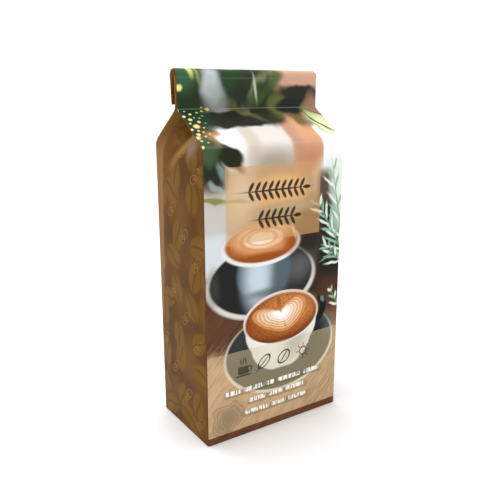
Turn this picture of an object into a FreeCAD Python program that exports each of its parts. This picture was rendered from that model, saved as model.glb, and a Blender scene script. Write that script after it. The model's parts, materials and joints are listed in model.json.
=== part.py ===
"""Filled side-gusset coffee bag with a folded-over top, a reseal label and a degassing valve.

The bag stands on z = 0 with its front towards -Y. Its origin is at the bottom centre of its box.
The film is one web that is folded at its edges, so each flat stretch between folds is a piece here.
"""
import FreeCAD, Part
import math
import os
from FreeCAD import Vector

# Driving sizes of the filled bag, in millimetres
WIDTH = 85.0                # across the front
DEPTH = 50.0                # front to back, with the fin seal
SHOULDER_HEIGHT = 152.0     # where the front and back start to slope
NECK_HEIGHT = 168.0         # where the slopes meet in the neck
TOP_HEIGHT = 187.0          # top of the folded-over film
NECK_THICKNESS = 2.85       # front ply to back ply, outside
NECK_FRONT_Y = -1.2         # outer face of the neck's front ply

# Film and its seals
FILM = 0.15                 # thickness of the laminated film
FIN_WIDTH = 10.0            # longitudinal fin seal, folded flat
SEAL_LENGTH = 10.0          # crimped band across the top of the bag
GUSSET_DEPTH = 25.0         # how far a gusset's valley reaches in from the edge
FOLD_GAP = 0.05             # air left beside a fold where two flats meet at an angle

# Top fold and flap
FOLD_INNER_RADIUS = 0.62    # inside of the rolled film at the very top
FLAP_LENGTH = 13.4          # from the fold's axis down to the flap's tail
FLAP_LEAN_DEG = 5.1         # the tail leans in towards the neck
HINGE_GAP = 0.3             # film left free each side of a fold that moves

# Crease between the shoulders and the neck
CREASE_LENGTH = 1.6         # film that bends when the neck tilts

# Folded block bottom, from the outside in
BOTTOM_FRONT_REACH = 38.0   # front flap, the outer one, which the bag stands on
BOTTOM_BACK_REACH = 34.0
BOTTOM_TUCK_REACH = 22.0
LAYER_GAP = 0.02            # glue line between folded layers

# Reseal label
LABEL_WIDTH = 30.0
LABEL_THICKNESS = 0.1
LABEL_ON_FLAP = 9.0         # length stuck on the flap
LABEL_BRIDGE_Y = 8.5        # where the label comes down to the back shoulder
LABEL_END_Y = 19.5          # lower end of the finger tab
LABEL_STANDOFF = 0.6        # label tab above the shoulder film, clear of the fin seal
LABEL_CORNER = 4.0          # rounding of the finger tab

# One-way valve, welded inside the back panel
VALVE_X = -21.0
VALVE_Z = 125.0
VALVE_FLANGE_RADIUS = 10.0
VALVE_FLANGE_THICKNESS = 0.8
VALVE_BOSS_RADIUS = 7.0
VALVE_BORE_RADIUS = 5.3
VALVE_SEAT_DEPTH = 2.6      # seat face below the film's inner face
VALVE_SEAT_THICKNESS = 0.8
VALVE_SKIRT = 0.6           # rim round the filter
VALVE_PORT_RADIUS = 0.5
VALVE_PORT_CIRCLE = 2.6     # radius of the ring of ports in the seat
DISC_RADIUS = 4.75
DISC_THICKNESS = 0.5
DISC_TRAVEL = 0.4
DISC_CLEARANCE = 0.03       # disc to seat at rest, and to the retainer when fully lifted
FILTER_RADIUS = 6.0
FILTER_THICKNESS = 0.25
RETAINER_CLEARANCE = 0.02   # between the retainer and the housing's bore
RETAINER_RIM = 1.1
RETAINER_RIB = 1.0          # width of each spoke
VALVE_TOP_GAP = 0.15        # between the retainer and the film
PINHOLE_RADIUS = 0.35
PINHOLE_CIRCLE = 2.0
PINHOLE_COUNT = 5

# Coffee beans, as the one block that they fill
FILL_CLEARANCE = 0.1
FILL_EDGE_HEIGHT = 149.0
FILL_CROWN_HEIGHT = 156.0
FILL_CROWN_INSET = 14.0
VALVE_POCKET_CLEARANCE = 0.5
OVERCUT = 1.0               # how far a cutting shape runs past the piece that it cuts

# Worked out from the driving sizes
HALF_WIDTH = WIDTH / 2
FRONT_Y = -DEPTH / 2
FIN_THICKNESS = 2 * FILM
BACK_Y = DEPTH / 2 - FIN_THICKNESS
NECK_BACK_Y = NECK_FRONT_Y + NECK_THICKNESS
NECK_MIDDLE_Y = (NECK_FRONT_Y + NECK_BACK_Y) / 2
FOLD_OUTER_RADIUS = NECK_THICKNESS + FOLD_INNER_RADIUS
FOLD_Y = NECK_FRONT_Y + FOLD_OUTER_RADIUS
FOLD_Z = TOP_HEIGHT - FOLD_OUTER_RADIUS
NECK_START_Z = NECK_HEIGHT + CREASE_LENGTH
NECK_END_Z = FOLD_Z - HINGE_GAP
SEAL_START = FLAP_LENGTH - SEAL_LENGTH
BACK_LAYER_Z = FILM + LAYER_GAP
TUCK_LAYER_Z = 2 * BACK_LAYER_Z
BOTTOM_STACK = TUCK_LAYER_Z + FILM
SEAT_Y = BACK_Y - FILM - VALVE_SEAT_DEPTH
VALLEY_X = HALF_WIDTH - GUSSET_DEPTH


def save(name, *solids):
    """Writes one piece, or a group of like solids, as a node."""
    shape = solids[0] if len(solids) == 1 else Part.makeCompound(list(solids))
    shape.exportStep("parts/" + name + ".step")


def across(section, low_x=-HALF_WIDTH, high_x=HALF_WIDTH):
    """A side-view outline of (y, z) points, drawn out across the bag."""
    points = [Vector(low_x, y, z) for y, z in section]
    face = Part.Face(Part.makePolygon(points + points[:1]))
    return face.extrude(Vector(high_x - low_x, 0, 0))


def block(low, high):
    """A plain block between two corners."""
    size = Vector(*high) - Vector(*low)
    return Part.makeBox(size.x, size.y, size.z, Vector(*low))


def inner_line(points, thickness):
    """The inner face of a folded film whose outer face follows (y, z) points, mitred at each fold."""
    normals = []
    for (y0, z0), (y1, z1) in zip(points, points[1:]):
        length = math.hypot(y1 - y0, z1 - z0)
        normals.append(((z1 - z0) / length, -(y1 - y0) / length))
    inner = []
    for i, (y, z) in enumerate(points):
        before = normals[max(i - 1, 0)]
        after = normals[min(i, len(normals) - 1)]
        share = 1 + before[0] * after[0] + before[1] * after[1]
        reach = thickness / share
        inner.append((y + reach * (before[0] + after[0]), z + reach * (before[1] + after[1])))
    return inner


def flats(points, thickness):
    """The (y, z) outline of each flat of a folded film."""
    inner = inner_line(points, thickness)
    return [[points[i], points[i + 1], inner[i + 1], inner[i]] for i in range(len(points) - 1)]


def facet(outside, inside):
    """A triangle of film between three outside corners and the three inside corners behind them."""
    faces = [outside, inside]
    for i in range(3):
        j = (i + 1) % 3
        faces.append([outside[i], outside[j], inside[j]])
        faces.append([outside[i], inside[j], inside[i]])
    shell = Part.Shell([Part.Face(Part.makePolygon(f + f[:1])) for f in faces])
    return Part.Solid(shell)


def upright(solid):
    """A solid from a shell may be inside out, which this turns right."""
    if solid.Volume < 0:
        solid.reverse()
    return solid


# The web of film, seen from the side: front, slope, crease and neck, and the same behind
FRONT_WEB = [(FRONT_Y, 0.0), (FRONT_Y, SHOULDER_HEIGHT), (NECK_FRONT_Y, NECK_HEIGHT),
             (NECK_FRONT_Y, NECK_START_Z - FOLD_GAP)]
BACK_WEB = [(BACK_Y, BACK_LAYER_Z), (BACK_Y, SHOULDER_HEIGHT), (NECK_BACK_Y, NECK_HEIGHT),
            (NECK_BACK_Y, NECK_START_Z - FOLD_GAP)]


def film_panels():
    """Front, back and sides, with the fin seal down the middle of the back."""
    front_flat, front_slope, front_crease = flats(FRONT_WEB, FILM)
    back_flat, back_slope, back_crease = flats(BACK_WEB, -FILM)
    save("front_panel", across(front_flat))
    save("front_shoulder", across(front_slope))
    save("back_panel_left", vented(across(back_flat, -HALF_WIDTH, 0)))
    save("back_panel_right", across(back_flat, 0, HALF_WIDTH))
    save("back_shoulder", across(back_slope))
    save("neck_crease", across(front_crease), across(back_crease))
    fin = flats([(y + FIN_THICKNESS, z) for y, z in BACK_WEB], -FIN_THICKNESS)
    save("back_fin_seal", across(fin[0], 0, FIN_WIDTH))
    save("shoulder_fin_seal", across(shoulder_fin(), 0, FIN_WIDTH))
    for side, name in ((-1, "left"), (1, "right")):
        low_x = min(side * HALF_WIDTH, side * (HALF_WIDTH - FILM))
        save(name + "_side_panel", block((low_x, FRONT_Y + FILM, BOTTOM_STACK),
                                         (low_x + FILM, BACK_Y - FILM, SHOULDER_HEIGHT - FILM)))


def shoulder_fin():
    """Outline of the fin on the back slope, which ends short of the crease."""
    start, end = Vector(0, BACK_Y, SHOULDER_HEIGHT), Vector(0, NECK_BACK_Y, NECK_HEIGHT)
    along = (end - start).normalize()
    out = Vector(0, along.z, -along.y)
    low = start + along * FIN_THICKNESS
    high = end - along * (FIN_THICKNESS + CREASE_LENGTH)
    corners = [low, high, high + out * FIN_THICKNESS, low + out * FIN_THICKNESS]
    return [(c.y, c.z) for c in corners]


def vented(panel):
    """Pinholes through the film in front of the valve."""
    for i in range(PINHOLE_COUNT):
        turn = 2 * math.pi * i / PINHOLE_COUNT
        centre = Vector(VALVE_X + PINHOLE_CIRCLE * math.cos(turn), BACK_Y - OVERCUT,
                        VALVE_Z + PINHOLE_CIRCLE * math.sin(turn))
        panel = panel.cut(Part.makeCylinder(PINHOLE_RADIUS, 2 * OVERCUT, centre, Vector(0, 1, 0)))
    return panel


def gusset_fold(side):
    """The side web above the shoulder: one triangle leans in, and two fold back under the slopes."""
    edge = side * HALF_WIDTH
    front_slope = inner_line(FRONT_WEB, FILM + FOLD_GAP)
    back_slope = inner_line(BACK_WEB, -FILM - FOLD_GAP)
    rise = (NECK_HEIGHT - SHOULDER_HEIGHT) / (NECK_FRONT_Y - FRONT_Y)
    lift = 4 * FILM
    base_front = Vector(edge, FRONT_Y + lift / rise, SHOULDER_HEIGHT + FOLD_GAP)
    base_back = Vector(edge, BACK_Y - lift / rise, SHOULDER_HEIGHT + FOLD_GAP)
    top_front = Vector(edge, front_slope[2][0], front_slope[2][1] - FOLD_GAP)
    top_back = Vector(edge, back_slope[2][0], back_slope[2][1] - FOLD_GAP)
    apex = Vector(side * VALLEY_X, NECK_MIDDLE_Y, top_front.z - FILM)
    up = Vector(0, 0, FILM)
    fore = Vector(0, FILM, -FOLD_GAP)
    aft = Vector(0, -FILM, -FOLD_GAP)
    outward = Vector(side * 2 * FILM, 0, 0)
    lean = facet([base_front + up, base_back + up, apex + up + outward], [base_front, base_back, apex])
    front_back = facet([base_front + up, apex + up + outward, top_front + fore],
                       [base_front + up - fore, apex + up - fore, top_front])
    back_back = facet([base_back + up, apex + up + outward, top_back + aft],
                      [base_back + up - aft, apex + up - aft, top_back])
    return [upright(s) for s in (lean, front_back, back_back)]


def v_outline(side, outer_y, inner_y, z):
    """The two plies of a gusset in the flattened neck: a V whose valley points inwards."""
    edge, valley = side * HALF_WIDTH, side * VALLEY_X
    middle = (outer_y + inner_y) / 2
    step = math.copysign(FILM, inner_y - outer_y)
    notch = valley + side * GUSSET_DEPTH * FILM / abs(middle - outer_y)
    points = [(edge, outer_y), (valley, middle), (edge, inner_y), (edge, inner_y - step), (notch, middle),
              (edge, outer_y + step)]
    points = [Vector(x, y, z) for x, y in points]
    return Part.makePolygon(points + points[:1])


def neck():
    """Front and back plies above the crease, with a folded gusset in each end and the fin's upper end."""
    save("neck_front_ply", block((-HALF_WIDTH, NECK_FRONT_Y, NECK_START_Z),
                                 (HALF_WIDTH, NECK_FRONT_Y + FILM, NECK_END_Z)))
    save("neck_back_ply", block((-HALF_WIDTH, NECK_BACK_Y - FILM, NECK_START_Z),
                                (HALF_WIDTH, NECK_BACK_Y, NECK_END_Z)))
    save("neck_fin_seal", block((0, NECK_BACK_Y, NECK_START_Z),
                                (FIN_WIDTH, NECK_BACK_Y + FIN_THICKNESS, NECK_END_Z)))
    front, back = NECK_FRONT_Y + FILM + FOLD_GAP, NECK_BACK_Y - FILM - FOLD_GAP
    for side, name in ((-1, "left"), (1, "right")):
        outline = v_outline(side, front, back, NECK_START_Z)
        height = Vector(0, 0, NECK_END_Z - NECK_START_Z)
        save(name + "_neck_gusset", Part.Face(outline).extrude(height))


def rolled(low_x, high_x, outer_radius):
    """One ply bent round the fold's axis, with a short straight end each side."""
    inner_radius = outer_radius - FILM
    stub = HINGE_GAP - FOLD_GAP
    length = high_x - low_x
    start = Vector(low_x, FOLD_Y, FOLD_Z)
    ring = Part.makeCylinder(outer_radius, length, start, Vector(1, 0, 0))
    ring = ring.cut(Part.makeCylinder(inner_radius, length, start, Vector(1, 0, 0)))
    spread = outer_radius + OVERCUT
    above = block((low_x, FOLD_Y - spread, FOLD_Z), (high_x, FOLD_Y + spread, TOP_HEIGHT + OVERCUT))
    arch = ring.common(above)
    for y in (FOLD_Y - outer_radius, FOLD_Y + inner_radius):
        arch = arch.fuse(block((low_x, y, FOLD_Z - stub), (high_x, y + FILM, FOLD_Z)))
    return arch.removeSplitter()


def top_fold():
    """The film rolled over at the top: the front web outside, the back web inside, gussets between."""
    save("top_fold_outer", rolled(-HALF_WIDTH, HALF_WIDTH, FOLD_OUTER_RADIUS))
    save("top_fold_inner", rolled(-HALF_WIDTH, HALF_WIDTH, FOLD_INNER_RADIUS + FILM))
    front, back = NECK_FRONT_Y + FILM + FOLD_GAP, NECK_BACK_Y - FILM - FOLD_GAP
    plies = []
    for side in (-1, 1):
        face = Part.Face(v_outline(side, front, back, FOLD_Z))
        plies.append(face.revolve(Vector(0, FOLD_Y, FOLD_Z), Vector(1, 0, 0), -180))
    save("top_fold_gussets", *plies)


def on_flap(down, inward):
    """The (y, z) of a point a distance down the flap's outer face and a distance in from it."""
    lean = math.radians(FLAP_LEAN_DEG)
    y = FOLD_Y + FOLD_OUTER_RADIUS - down * math.sin(lean) - inward * math.cos(lean)
    z = FOLD_Z - down * math.cos(lean) + inward * math.sin(lean)
    return y, z


def strip(low, high, low_x=-HALF_WIDTH, high_x=HALF_WIDTH):
    """A flat strip on the flap between two (down, inward) corners."""
    corners = [(low[0], low[1]), (high[0], low[1]), (high[0], high[1]), (low[0], high[1])]
    return across([on_flap(*c) for c in corners], low_x, high_x)


def flap():
    """The folded-down top: its plies draw together into the crimped seal at the tail."""
    save("flap_outer_ply", strip((HINGE_GAP, 0), (SEAL_START, FILM)))
    lean = math.radians(FLAP_LEAN_DEG)
    start = HINGE_GAP + NECK_THICKNESS * math.sin(lean)
    start_in = NECK_THICKNESS - start * math.sin(lean)
    seal_in = 4 * FILM
    inner = [(start, start_in), (SEAL_START, seal_in)]
    inner += [(down, inward - FILM) for down, inward in reversed(inner)]
    save("flap_inner_ply", across([on_flap(*c) for c in inner]))
    save("flap_gussets", *[flap_gusset(side, start, start_in, seal_in) for side in (-1, 1)])
    seal = strip((SEAL_START, 0), (FLAP_LENGTH, 2 * FILM))
    for low_x, high_x in ((-HALF_WIDTH, -VALLEY_X), (VALLEY_X, HALF_WIDTH)):
        seal = seal.fuse(strip((SEAL_START, 0), (FLAP_LENGTH, 4 * FILM), low_x, high_x))
    save("top_seal", seal.removeSplitter())


def flap_gusset(side, start, start_in, seal_in):
    """Gusset plies between the flap's plies, a V that closes up towards the seal."""
    edge, valley = side * HALF_WIDTH, side * VALLEY_X
    start_outer, start_inner = FILM + FOLD_GAP, start_in - 2 * FILM - FOLD_GAP
    wires = []
    end_outer, end_inner = FILM + FOLD_GAP / 4, seal_in - FILM - FOLD_GAP
    for down, outer_in, inner_in in ((start, start_outer, start_inner),
                                     (SEAL_START - FOLD_GAP, end_outer, end_inner)):
        middle = (outer_in + inner_in) / 2
        ply = min(FILM, (inner_in - outer_in) / 3)
        notch = valley + side * GUSSET_DEPTH * ply / (middle - outer_in)
        outline = [(edge, outer_in), (valley, middle), (edge, inner_in), (edge, inner_in - ply),
                   (notch, middle), (edge, outer_in + ply)]
        points = [Vector(x, *on_flap(down, inward)) for x, inward in outline]
        wires.append(Part.makePolygon(points + points[:1]))
    return upright(Part.makeLoft(wires, True, True))


def label():
    """Reseal label: its upper half stuck on the flap, its finger tab on the back shoulder."""
    half = LABEL_WIDTH / 2
    stuck = strip((FLAP_LENGTH - LABEL_ON_FLAP, -LABEL_THICKNESS), (FLAP_LENGTH, 0), -half, half)
    save("label_upper", stuck)
    fall = (NECK_HEIGHT - SHOULDER_HEIGHT) / (BACK_Y - NECK_BACK_Y)
    lift = LABEL_STANDOFF * math.hypot(1, fall) + LABEL_THICKNESS

    def above_shoulder(y):
        return (y, NECK_HEIGHT - (y - NECK_BACK_Y) * fall + lift)

    path = [on_flap(FLAP_LENGTH + HINGE_GAP, -LABEL_THICKNESS), above_shoulder(LABEL_BRIDGE_Y),
            above_shoulder(LABEL_END_Y)]
    bridge, tab = [across(f, -half, half) for f in flats(path, -LABEL_THICKNESS)]
    end = Vector(0, *path[2])
    ends = [e for e in tab.Edges if e.Length < 2 * LABEL_THICKNESS]
    ends = [e for e in ends if math.hypot(e.CenterOfMass.y - end.y, e.CenterOfMass.z - end.z) < LABEL_STANDOFF]
    save("label_tab", bridge.fuse(tab.makeFillet(LABEL_CORNER, ends)))


def bottom():
    """Folded block bottom: side tucks inside, then the back flap, then the front flap outside."""
    save("bottom_front_flap", block((-HALF_WIDTH, FRONT_Y + FILM, 0),
                                    (HALF_WIDTH, FRONT_Y + BOTTOM_FRONT_REACH, FILM)))
    save("bottom_back_flap", block((-HALF_WIDTH, BACK_Y - BOTTOM_BACK_REACH, BACK_LAYER_Z),
                                   (HALF_WIDTH, BACK_Y - FILM, BACK_LAYER_Z + FILM)))
    front, back = FRONT_Y + FILM, BACK_Y - FILM
    for side, name in ((-1, "left"), (1, "right")):
        edge, end = side * HALF_WIDTH, side * (HALF_WIDTH - BOTTOM_TUCK_REACH)
        points = [(edge, front), (edge, back)]
        points += [(end, back - BOTTOM_TUCK_REACH), (end, front + BOTTOM_TUCK_REACH)]
        points = [Vector(x, y, TUCK_LAYER_Z) for x, y in points]
        tuck = Part.Face(Part.makePolygon(points + points[:1])).extrude(Vector(0, 0, FILM))
        save("bottom_" + name + "_tuck", tuck)


def disc(radius, low_y, high_y):
    """A round piece on the valve's axis, between two depths."""
    return Part.makeCylinder(radius, high_y - low_y, Vector(VALVE_X, low_y, VALVE_Z), Vector(0, 1, 0))


def valve():
    """One-way valve: gas lifts the rubber disc off its seat and leaves through the pinholes."""
    film_y = BACK_Y - FILM
    seat_back = SEAT_Y - VALVE_SEAT_THICKNESS
    housing = disc(VALVE_BOSS_RADIUS, seat_back - VALVE_SKIRT, film_y)
    housing = housing.fuse(disc(VALVE_FLANGE_RADIUS, film_y - VALVE_FLANGE_THICKNESS, film_y))
    housing = housing.cut(disc(VALVE_BORE_RADIUS, SEAT_Y, film_y + OVERCUT))
    housing = housing.cut(disc(FILTER_RADIUS + LAYER_GAP, seat_back - VALVE_SKIRT - OVERCUT, seat_back))
    for i in range(PINHOLE_COUNT):
        turn = 2 * math.pi * i / PINHOLE_COUNT
        start = Vector(VALVE_X + VALVE_PORT_CIRCLE * math.cos(turn), seat_back - OVERCUT,
                       VALVE_Z + VALVE_PORT_CIRCLE * math.sin(turn))
        depth = VALVE_SEAT_THICKNESS + 2 * OVERCUT
        housing = housing.cut(Part.makeCylinder(VALVE_PORT_RADIUS, depth, start, Vector(0, 1, 0)))
    save("valve_housing", housing.removeSplitter())
    filter_high = seat_back - LAYER_GAP
    save("valve_filter", disc(FILTER_RADIUS, filter_high - FILTER_THICKNESS, filter_high))
    disc_low = SEAT_Y + DISC_CLEARANCE
    disc_high = disc_low + DISC_THICKNESS
    save("valve_disc", disc(DISC_RADIUS, disc_low, disc_high))
    save("valve_retainer", retainer(disc_high + DISC_TRAVEL + DISC_CLEARANCE, film_y - VALVE_TOP_GAP))


def retainer(low_y, high_y):
    """Ring with crossed spokes that stops the disc."""
    outer = VALVE_BORE_RADIUS - RETAINER_CLEARANCE
    ring = disc(outer, low_y, high_y).cut(disc(outer - RETAINER_RIM, low_y - OVERCUT, high_y + OVERCUT))
    reach = outer - RETAINER_RIM / 2
    for wide, tall in ((reach, RETAINER_RIB / 2), (RETAINER_RIB / 2, reach)):
        spoke = block((VALVE_X - wide, low_y, VALVE_Z - tall), (VALVE_X + wide, high_y, VALVE_Z + tall))
        ring = ring.fuse(spoke)
    return ring.removeSplitter()


def beans():
    """The space that the beans fill, with a low crown, and a pocket round the valve."""
    gap = FILM + FILL_CLEARANCE
    low_x, high_x = -HALF_WIDTH + gap, HALF_WIDTH - gap
    low_y, high_y = FRONT_Y + gap, BACK_Y - gap
    fill = block((low_x, low_y, BOTTOM_STACK + FILL_CLEARANCE), (high_x, high_y, FILL_EDGE_HEIGHT))
    inset = FILL_CROWN_INSET
    wires = []
    for z, step in ((FILL_EDGE_HEIGHT, 0.0), (FILL_CROWN_HEIGHT, inset)):
        points = [Vector(low_x + step, low_y + step, z), Vector(high_x - step, low_y + step, z),
                  Vector(high_x - step, high_y - step, z), Vector(low_x + step, high_y - step, z)]
        wires.append(Part.makePolygon(points + points[:1]))
    fill = fill.fuse(Part.makeLoft(wires, True, True))
    pocket_y = SEAT_Y - VALVE_SEAT_THICKNESS - VALVE_SKIRT - VALVE_POCKET_CLEARANCE
    fill = fill.cut(disc(VALVE_FLANGE_RADIUS + VALVE_POCKET_CLEARANCE, pocket_y, BACK_Y))
    save("coffee_beans", fill.removeSplitter())


os.makedirs("parts", exist_ok=True)
film_panels()
save("left_gusset_fold", *gusset_fold(-1))
save("right_gusset_fold", *gusset_fold(1))
neck()
top_fold()
flap()
label()
bottom()
valve()
beans()
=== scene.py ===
"""Filled side-gusset coffee bag, standing on a pale table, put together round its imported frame."""
import json
import math

import bmesh
import bpy
import numpy as np
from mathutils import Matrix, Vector


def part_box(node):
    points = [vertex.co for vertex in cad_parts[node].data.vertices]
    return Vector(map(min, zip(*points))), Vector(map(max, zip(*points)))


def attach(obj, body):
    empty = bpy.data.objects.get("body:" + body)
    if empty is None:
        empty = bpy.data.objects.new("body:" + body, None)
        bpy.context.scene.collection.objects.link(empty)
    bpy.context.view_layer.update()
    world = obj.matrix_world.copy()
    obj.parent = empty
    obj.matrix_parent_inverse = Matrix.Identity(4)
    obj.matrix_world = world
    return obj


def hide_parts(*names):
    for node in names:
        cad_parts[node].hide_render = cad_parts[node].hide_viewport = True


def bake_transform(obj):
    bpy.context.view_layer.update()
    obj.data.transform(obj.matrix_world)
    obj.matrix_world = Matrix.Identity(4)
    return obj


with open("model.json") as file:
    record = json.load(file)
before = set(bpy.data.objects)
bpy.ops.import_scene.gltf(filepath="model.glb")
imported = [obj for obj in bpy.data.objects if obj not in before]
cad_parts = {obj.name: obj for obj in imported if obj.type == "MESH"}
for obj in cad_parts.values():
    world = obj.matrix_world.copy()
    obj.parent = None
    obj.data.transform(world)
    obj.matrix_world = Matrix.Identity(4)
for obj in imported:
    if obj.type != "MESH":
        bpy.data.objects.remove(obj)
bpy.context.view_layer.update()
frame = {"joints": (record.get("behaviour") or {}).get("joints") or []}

# ---------------------------------------------------------------------------------------------
# Camera. It stands to the left of the printed front, about level with the top of the bag, and
# looks down on it with a normal lens.
EYE = Vector((-0.17697, -0.26416, 0.17614))
TURN, LIFT = math.radians(-33.79), math.radians(14.69)
SENSOR_MM, FIELD_OF_VIEW = 36.0, math.radians(45)
eye = bpy.data.objects.new("eye", bpy.data.cameras.new("eye"))
bpy.context.collection.objects.link(eye)
eye.location = EYE
back = Vector((math.sin(TURN) * math.cos(LIFT), -math.cos(TURN) * math.cos(LIFT), math.sin(LIFT)))
eye.rotation_euler = (-back).to_track_quat("-Z", "Y").to_euler()
eye.data.sensor_width = SENSOR_MM
eye.data.lens = SENSOR_MM / 2 / math.tan(FIELD_OF_VIEW / 2)
eye.data.clip_start, eye.data.clip_end = 0.01, 20
bpy.context.scene.camera = eye

# ---------------------------------------------------------------------------------------------
# Printed front of the bag. The web is matt BOPP laminated to foil and polyethylene, 0.15 mm in
# all, printed by gravure. One strip runs from the base over the shoulder to the top of the neck.
MM = 0.001
FILM_MM = 0.15


def box_mm(node):
    """Lowest and highest corners of a CAD node, in millimetres."""
    return np.array(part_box(node)) / MM


front_box = box_mm("front_panel")
neck_box = box_mm("neck_front_ply")
roll_box = box_mm("top_fold_outer")
tilt = next(j for j in frame["joints"] if j["name"] == "neck_tilt")
unfold = next(j for j in frame["joints"] if j["name"] == "flap_unfold")
HALF = front_box[1][0]
FRONT_Y = front_box[0][1]
SHOULDER_Z = front_box[1][2]
NECK_Z = tilt["pos_m"][2] / MM
NECK_Y = neck_box[0][1]
FOLD_Y, FOLD_Z = unfold["pos_m"][1] / MM, unfold["pos_m"][2] / MM
SLOPE_MM = math.hypot(NECK_Y - FRONT_Y, NECK_Z - SHOULDER_Z)
CREASE_V = SHOULDER_Z + SLOPE_MM
NECK_TOP_V = CREASE_V + FOLD_Z - NECK_Z
CORNER_MM = 1.2          # round of the upright corners of the filled bag
NECK_CORNER_MM = 0.7     # the same where the film is folded flat in the neck
SHOULDER_ROUND_MM = 7.0
CREASE_ROUND_MM = 1.6
BULGE_MM = 0.9           # how far the beans push the middle of the front out


def fold_line(points, rounds):
    """Follows (y, z) points, round at each inner one. Returns a function that gives y, z and the
    turned-left unit normal at distances along the sharp line."""
    points = [np.array(p, float) for p in points]
    runs = [b - a for a, b in zip(points, points[1:])]
    lengths = [np.linalg.norm(r) for r in runs]
    ways = [r / n for r, n in zip(runs, lengths)]
    stops = np.concatenate([[0], np.cumsum(lengths)])
    at, where, heading = [0.0], [points[0]], [ways[0]]
    for i, radius in enumerate(rounds, 1):
        before, after = ways[i - 1], ways[i]
        cross = before[0] * after[1] - before[1] * after[0]
        turn = math.atan2(cross, before @ after)
        side = np.array([-before[1], before[0]]) * math.copysign(1, turn)
        reach = radius * math.tan(abs(turn) / 2)
        start = points[i] - before * reach
        for share in np.linspace(0, 1, 25):
            angle = abs(turn) * share
            at.append(stops[i] + reach * (2 * share - 1))
            where.append(start + radius * (math.sin(angle) * before + (1 - math.cos(angle)) * side))
            heading.append(math.cos(angle) * before + math.sin(angle) * side)
    at.append(stops[-1])
    where.append(points[-1])
    heading.append(ways[-1])
    at, where, heading = np.array(at), np.array(where), np.array(heading)

    def follow(v):
        y, z = np.interp(v, at, where[:, 0]), np.interp(v, at, where[:, 1])
        dy, dz = np.interp(v, at, heading[:, 0]), np.interp(v, at, heading[:, 1])
        size = np.hypot(dy, dz)
        return y, z, -dz / size, dy / size
    return follow


def ease(value, low, high):
    """0 below low, 1 above high, and smooth between."""
    share = np.clip((value - low) / (high - low), 0, 1)
    return share * share * (3 - 2 * share)


def crumple(u, v, seed, size):
    """Soft waves of about this size, mostly within -1 to 1, as a sum of a few crossed ripples."""
    rng = np.random.default_rng(seed)
    total = np.zeros(np.broadcast(u, v).shape)
    for _ in range(7):
        way, phase, pace = rng.uniform(0, 2 * math.pi), rng.uniform(0, 2 * math.pi), rng.uniform(0.7, 1.5)
        total += np.sin((u * math.cos(way) + v * math.sin(way)) * 2 * math.pi * pace / size + phase)
    return total / 4


def rounded(radius, past):
    """How far a round corner has fallen back at a distance past its start."""
    return radius - np.sqrt(np.clip(radius ** 2 - np.clip(past, 0, None) ** 2, 0, None))


def grid(*values):
    """Joins coordinates point by point, each one spread over the whole grid."""
    return np.stack(np.broadcast_arrays(*values), -1)


def film(name, places, web, materials, thickness=FILM_MM, flip=False):
    """A sheet of film from a grid of places in millimetres. web holds each point's place on the
    flat film, which the print follows. The thickness goes inwards, and the inside is its own material."""
    rows, columns = places.shape[:2]
    mesh = bpy.data.meshes.new(name)
    index = np.arange(rows * columns).reshape(rows, columns)
    faces = np.stack([index[:-1, :-1], index[:-1, 1:], index[1:, 1:], index[1:, :-1]], -1).reshape(-1, 4)
    if flip:
        faces = faces[:, ::-1]
    mesh.from_pydata((places * MM).reshape(-1, 3).tolist(), [], faces.tolist())
    layer = mesh.uv_layers.new(name="web")
    corners = np.zeros(len(mesh.loops), int)
    mesh.loops.foreach_get("vertex_index", corners)
    layer.data.foreach_set("uv", (web * MM).reshape(-1, 2)[corners].astype(np.float32).ravel())
    piece = bpy.data.objects.new(name, mesh)
    bpy.context.collection.objects.link(piece)
    for material in materials:
        mesh.materials.append(material)
    bpy.ops.object.select_all(action="DESELECT")
    piece.select_set(True)
    bpy.context.view_layer.objects.active = piece
    wall = piece.modifiers.new("wall", "SOLIDIFY")
    wall.thickness = thickness * MM
    wall.offset = -1
    wall.material_offset = 1
    wall.material_offset_rim = 0
    bpy.ops.object.modifier_apply(modifier="wall")
    bpy.ops.object.shade_smooth_by_angle(angle=math.radians(40))
    return piece


def linear(code):
    """An sRGB hex colour as linear values for a shader."""
    parts = [int(code[i:i + 2], 16) / 255 for i in (1, 3, 5)]
    return [p / 12.92 if p <= 0.04045 else ((p + 0.055) / 1.055) ** 2.4 for p in parts] + [1.0]


def plug(node, **inputs):
    """Gives values or links to the sockets of a node, by name, or by number as _0, _1."""
    for key, value in inputs.items():
        socket = node.inputs[int(key[1:])] if key[1:].isdigit() else node.inputs[key.replace("_", " ")]
        if isinstance(value, bpy.types.NodeSocket):
            node.id_data.links.new(value, socket, verify_limits=False)
        else:
            socket.default_value = value


def add(owner, kind, settings=None, **inputs):
    """Adds a node to a material or a printing plate. settings are its properties, or a colour ramp's
    stops, and inputs are what is plugged into it."""
    node = getattr(owner, "node_tree", owner).nodes.new("ShaderNode" + kind)
    settings = dict(settings or {})
    for i, (place, code) in enumerate(settings.pop("stops", ())):
        node.color_ramp.elements[i].position = place
        node.color_ramp.elements[i].color = linear(code)
    for key, value in settings.items():
        setattr(node, key, value)
    plug(node, **inputs)
    return node


def new_material(name):
    """An empty node material with its Principled shader, which it returns as well."""
    material = bpy.data.materials.new(name)
    material.use_nodes = True
    material.node_tree.nodes.clear()
    shader = add(material, "BsdfPrincipled")
    add(material, "OutputMaterial", Surface=shader.outputs[0])
    return material, shader


def on_web(material):
    """Each point's place on the flat film or paper, as (u, v, 1) in millimetres."""
    web = add(material, "UVMap", {"uv_map": "web"})
    return add(material, "Mapping", Vector=web.outputs[0], Location=(0, 0, 1),
               Scale=(1 / MM, 1 / MM, 1)).outputs[0]


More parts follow.
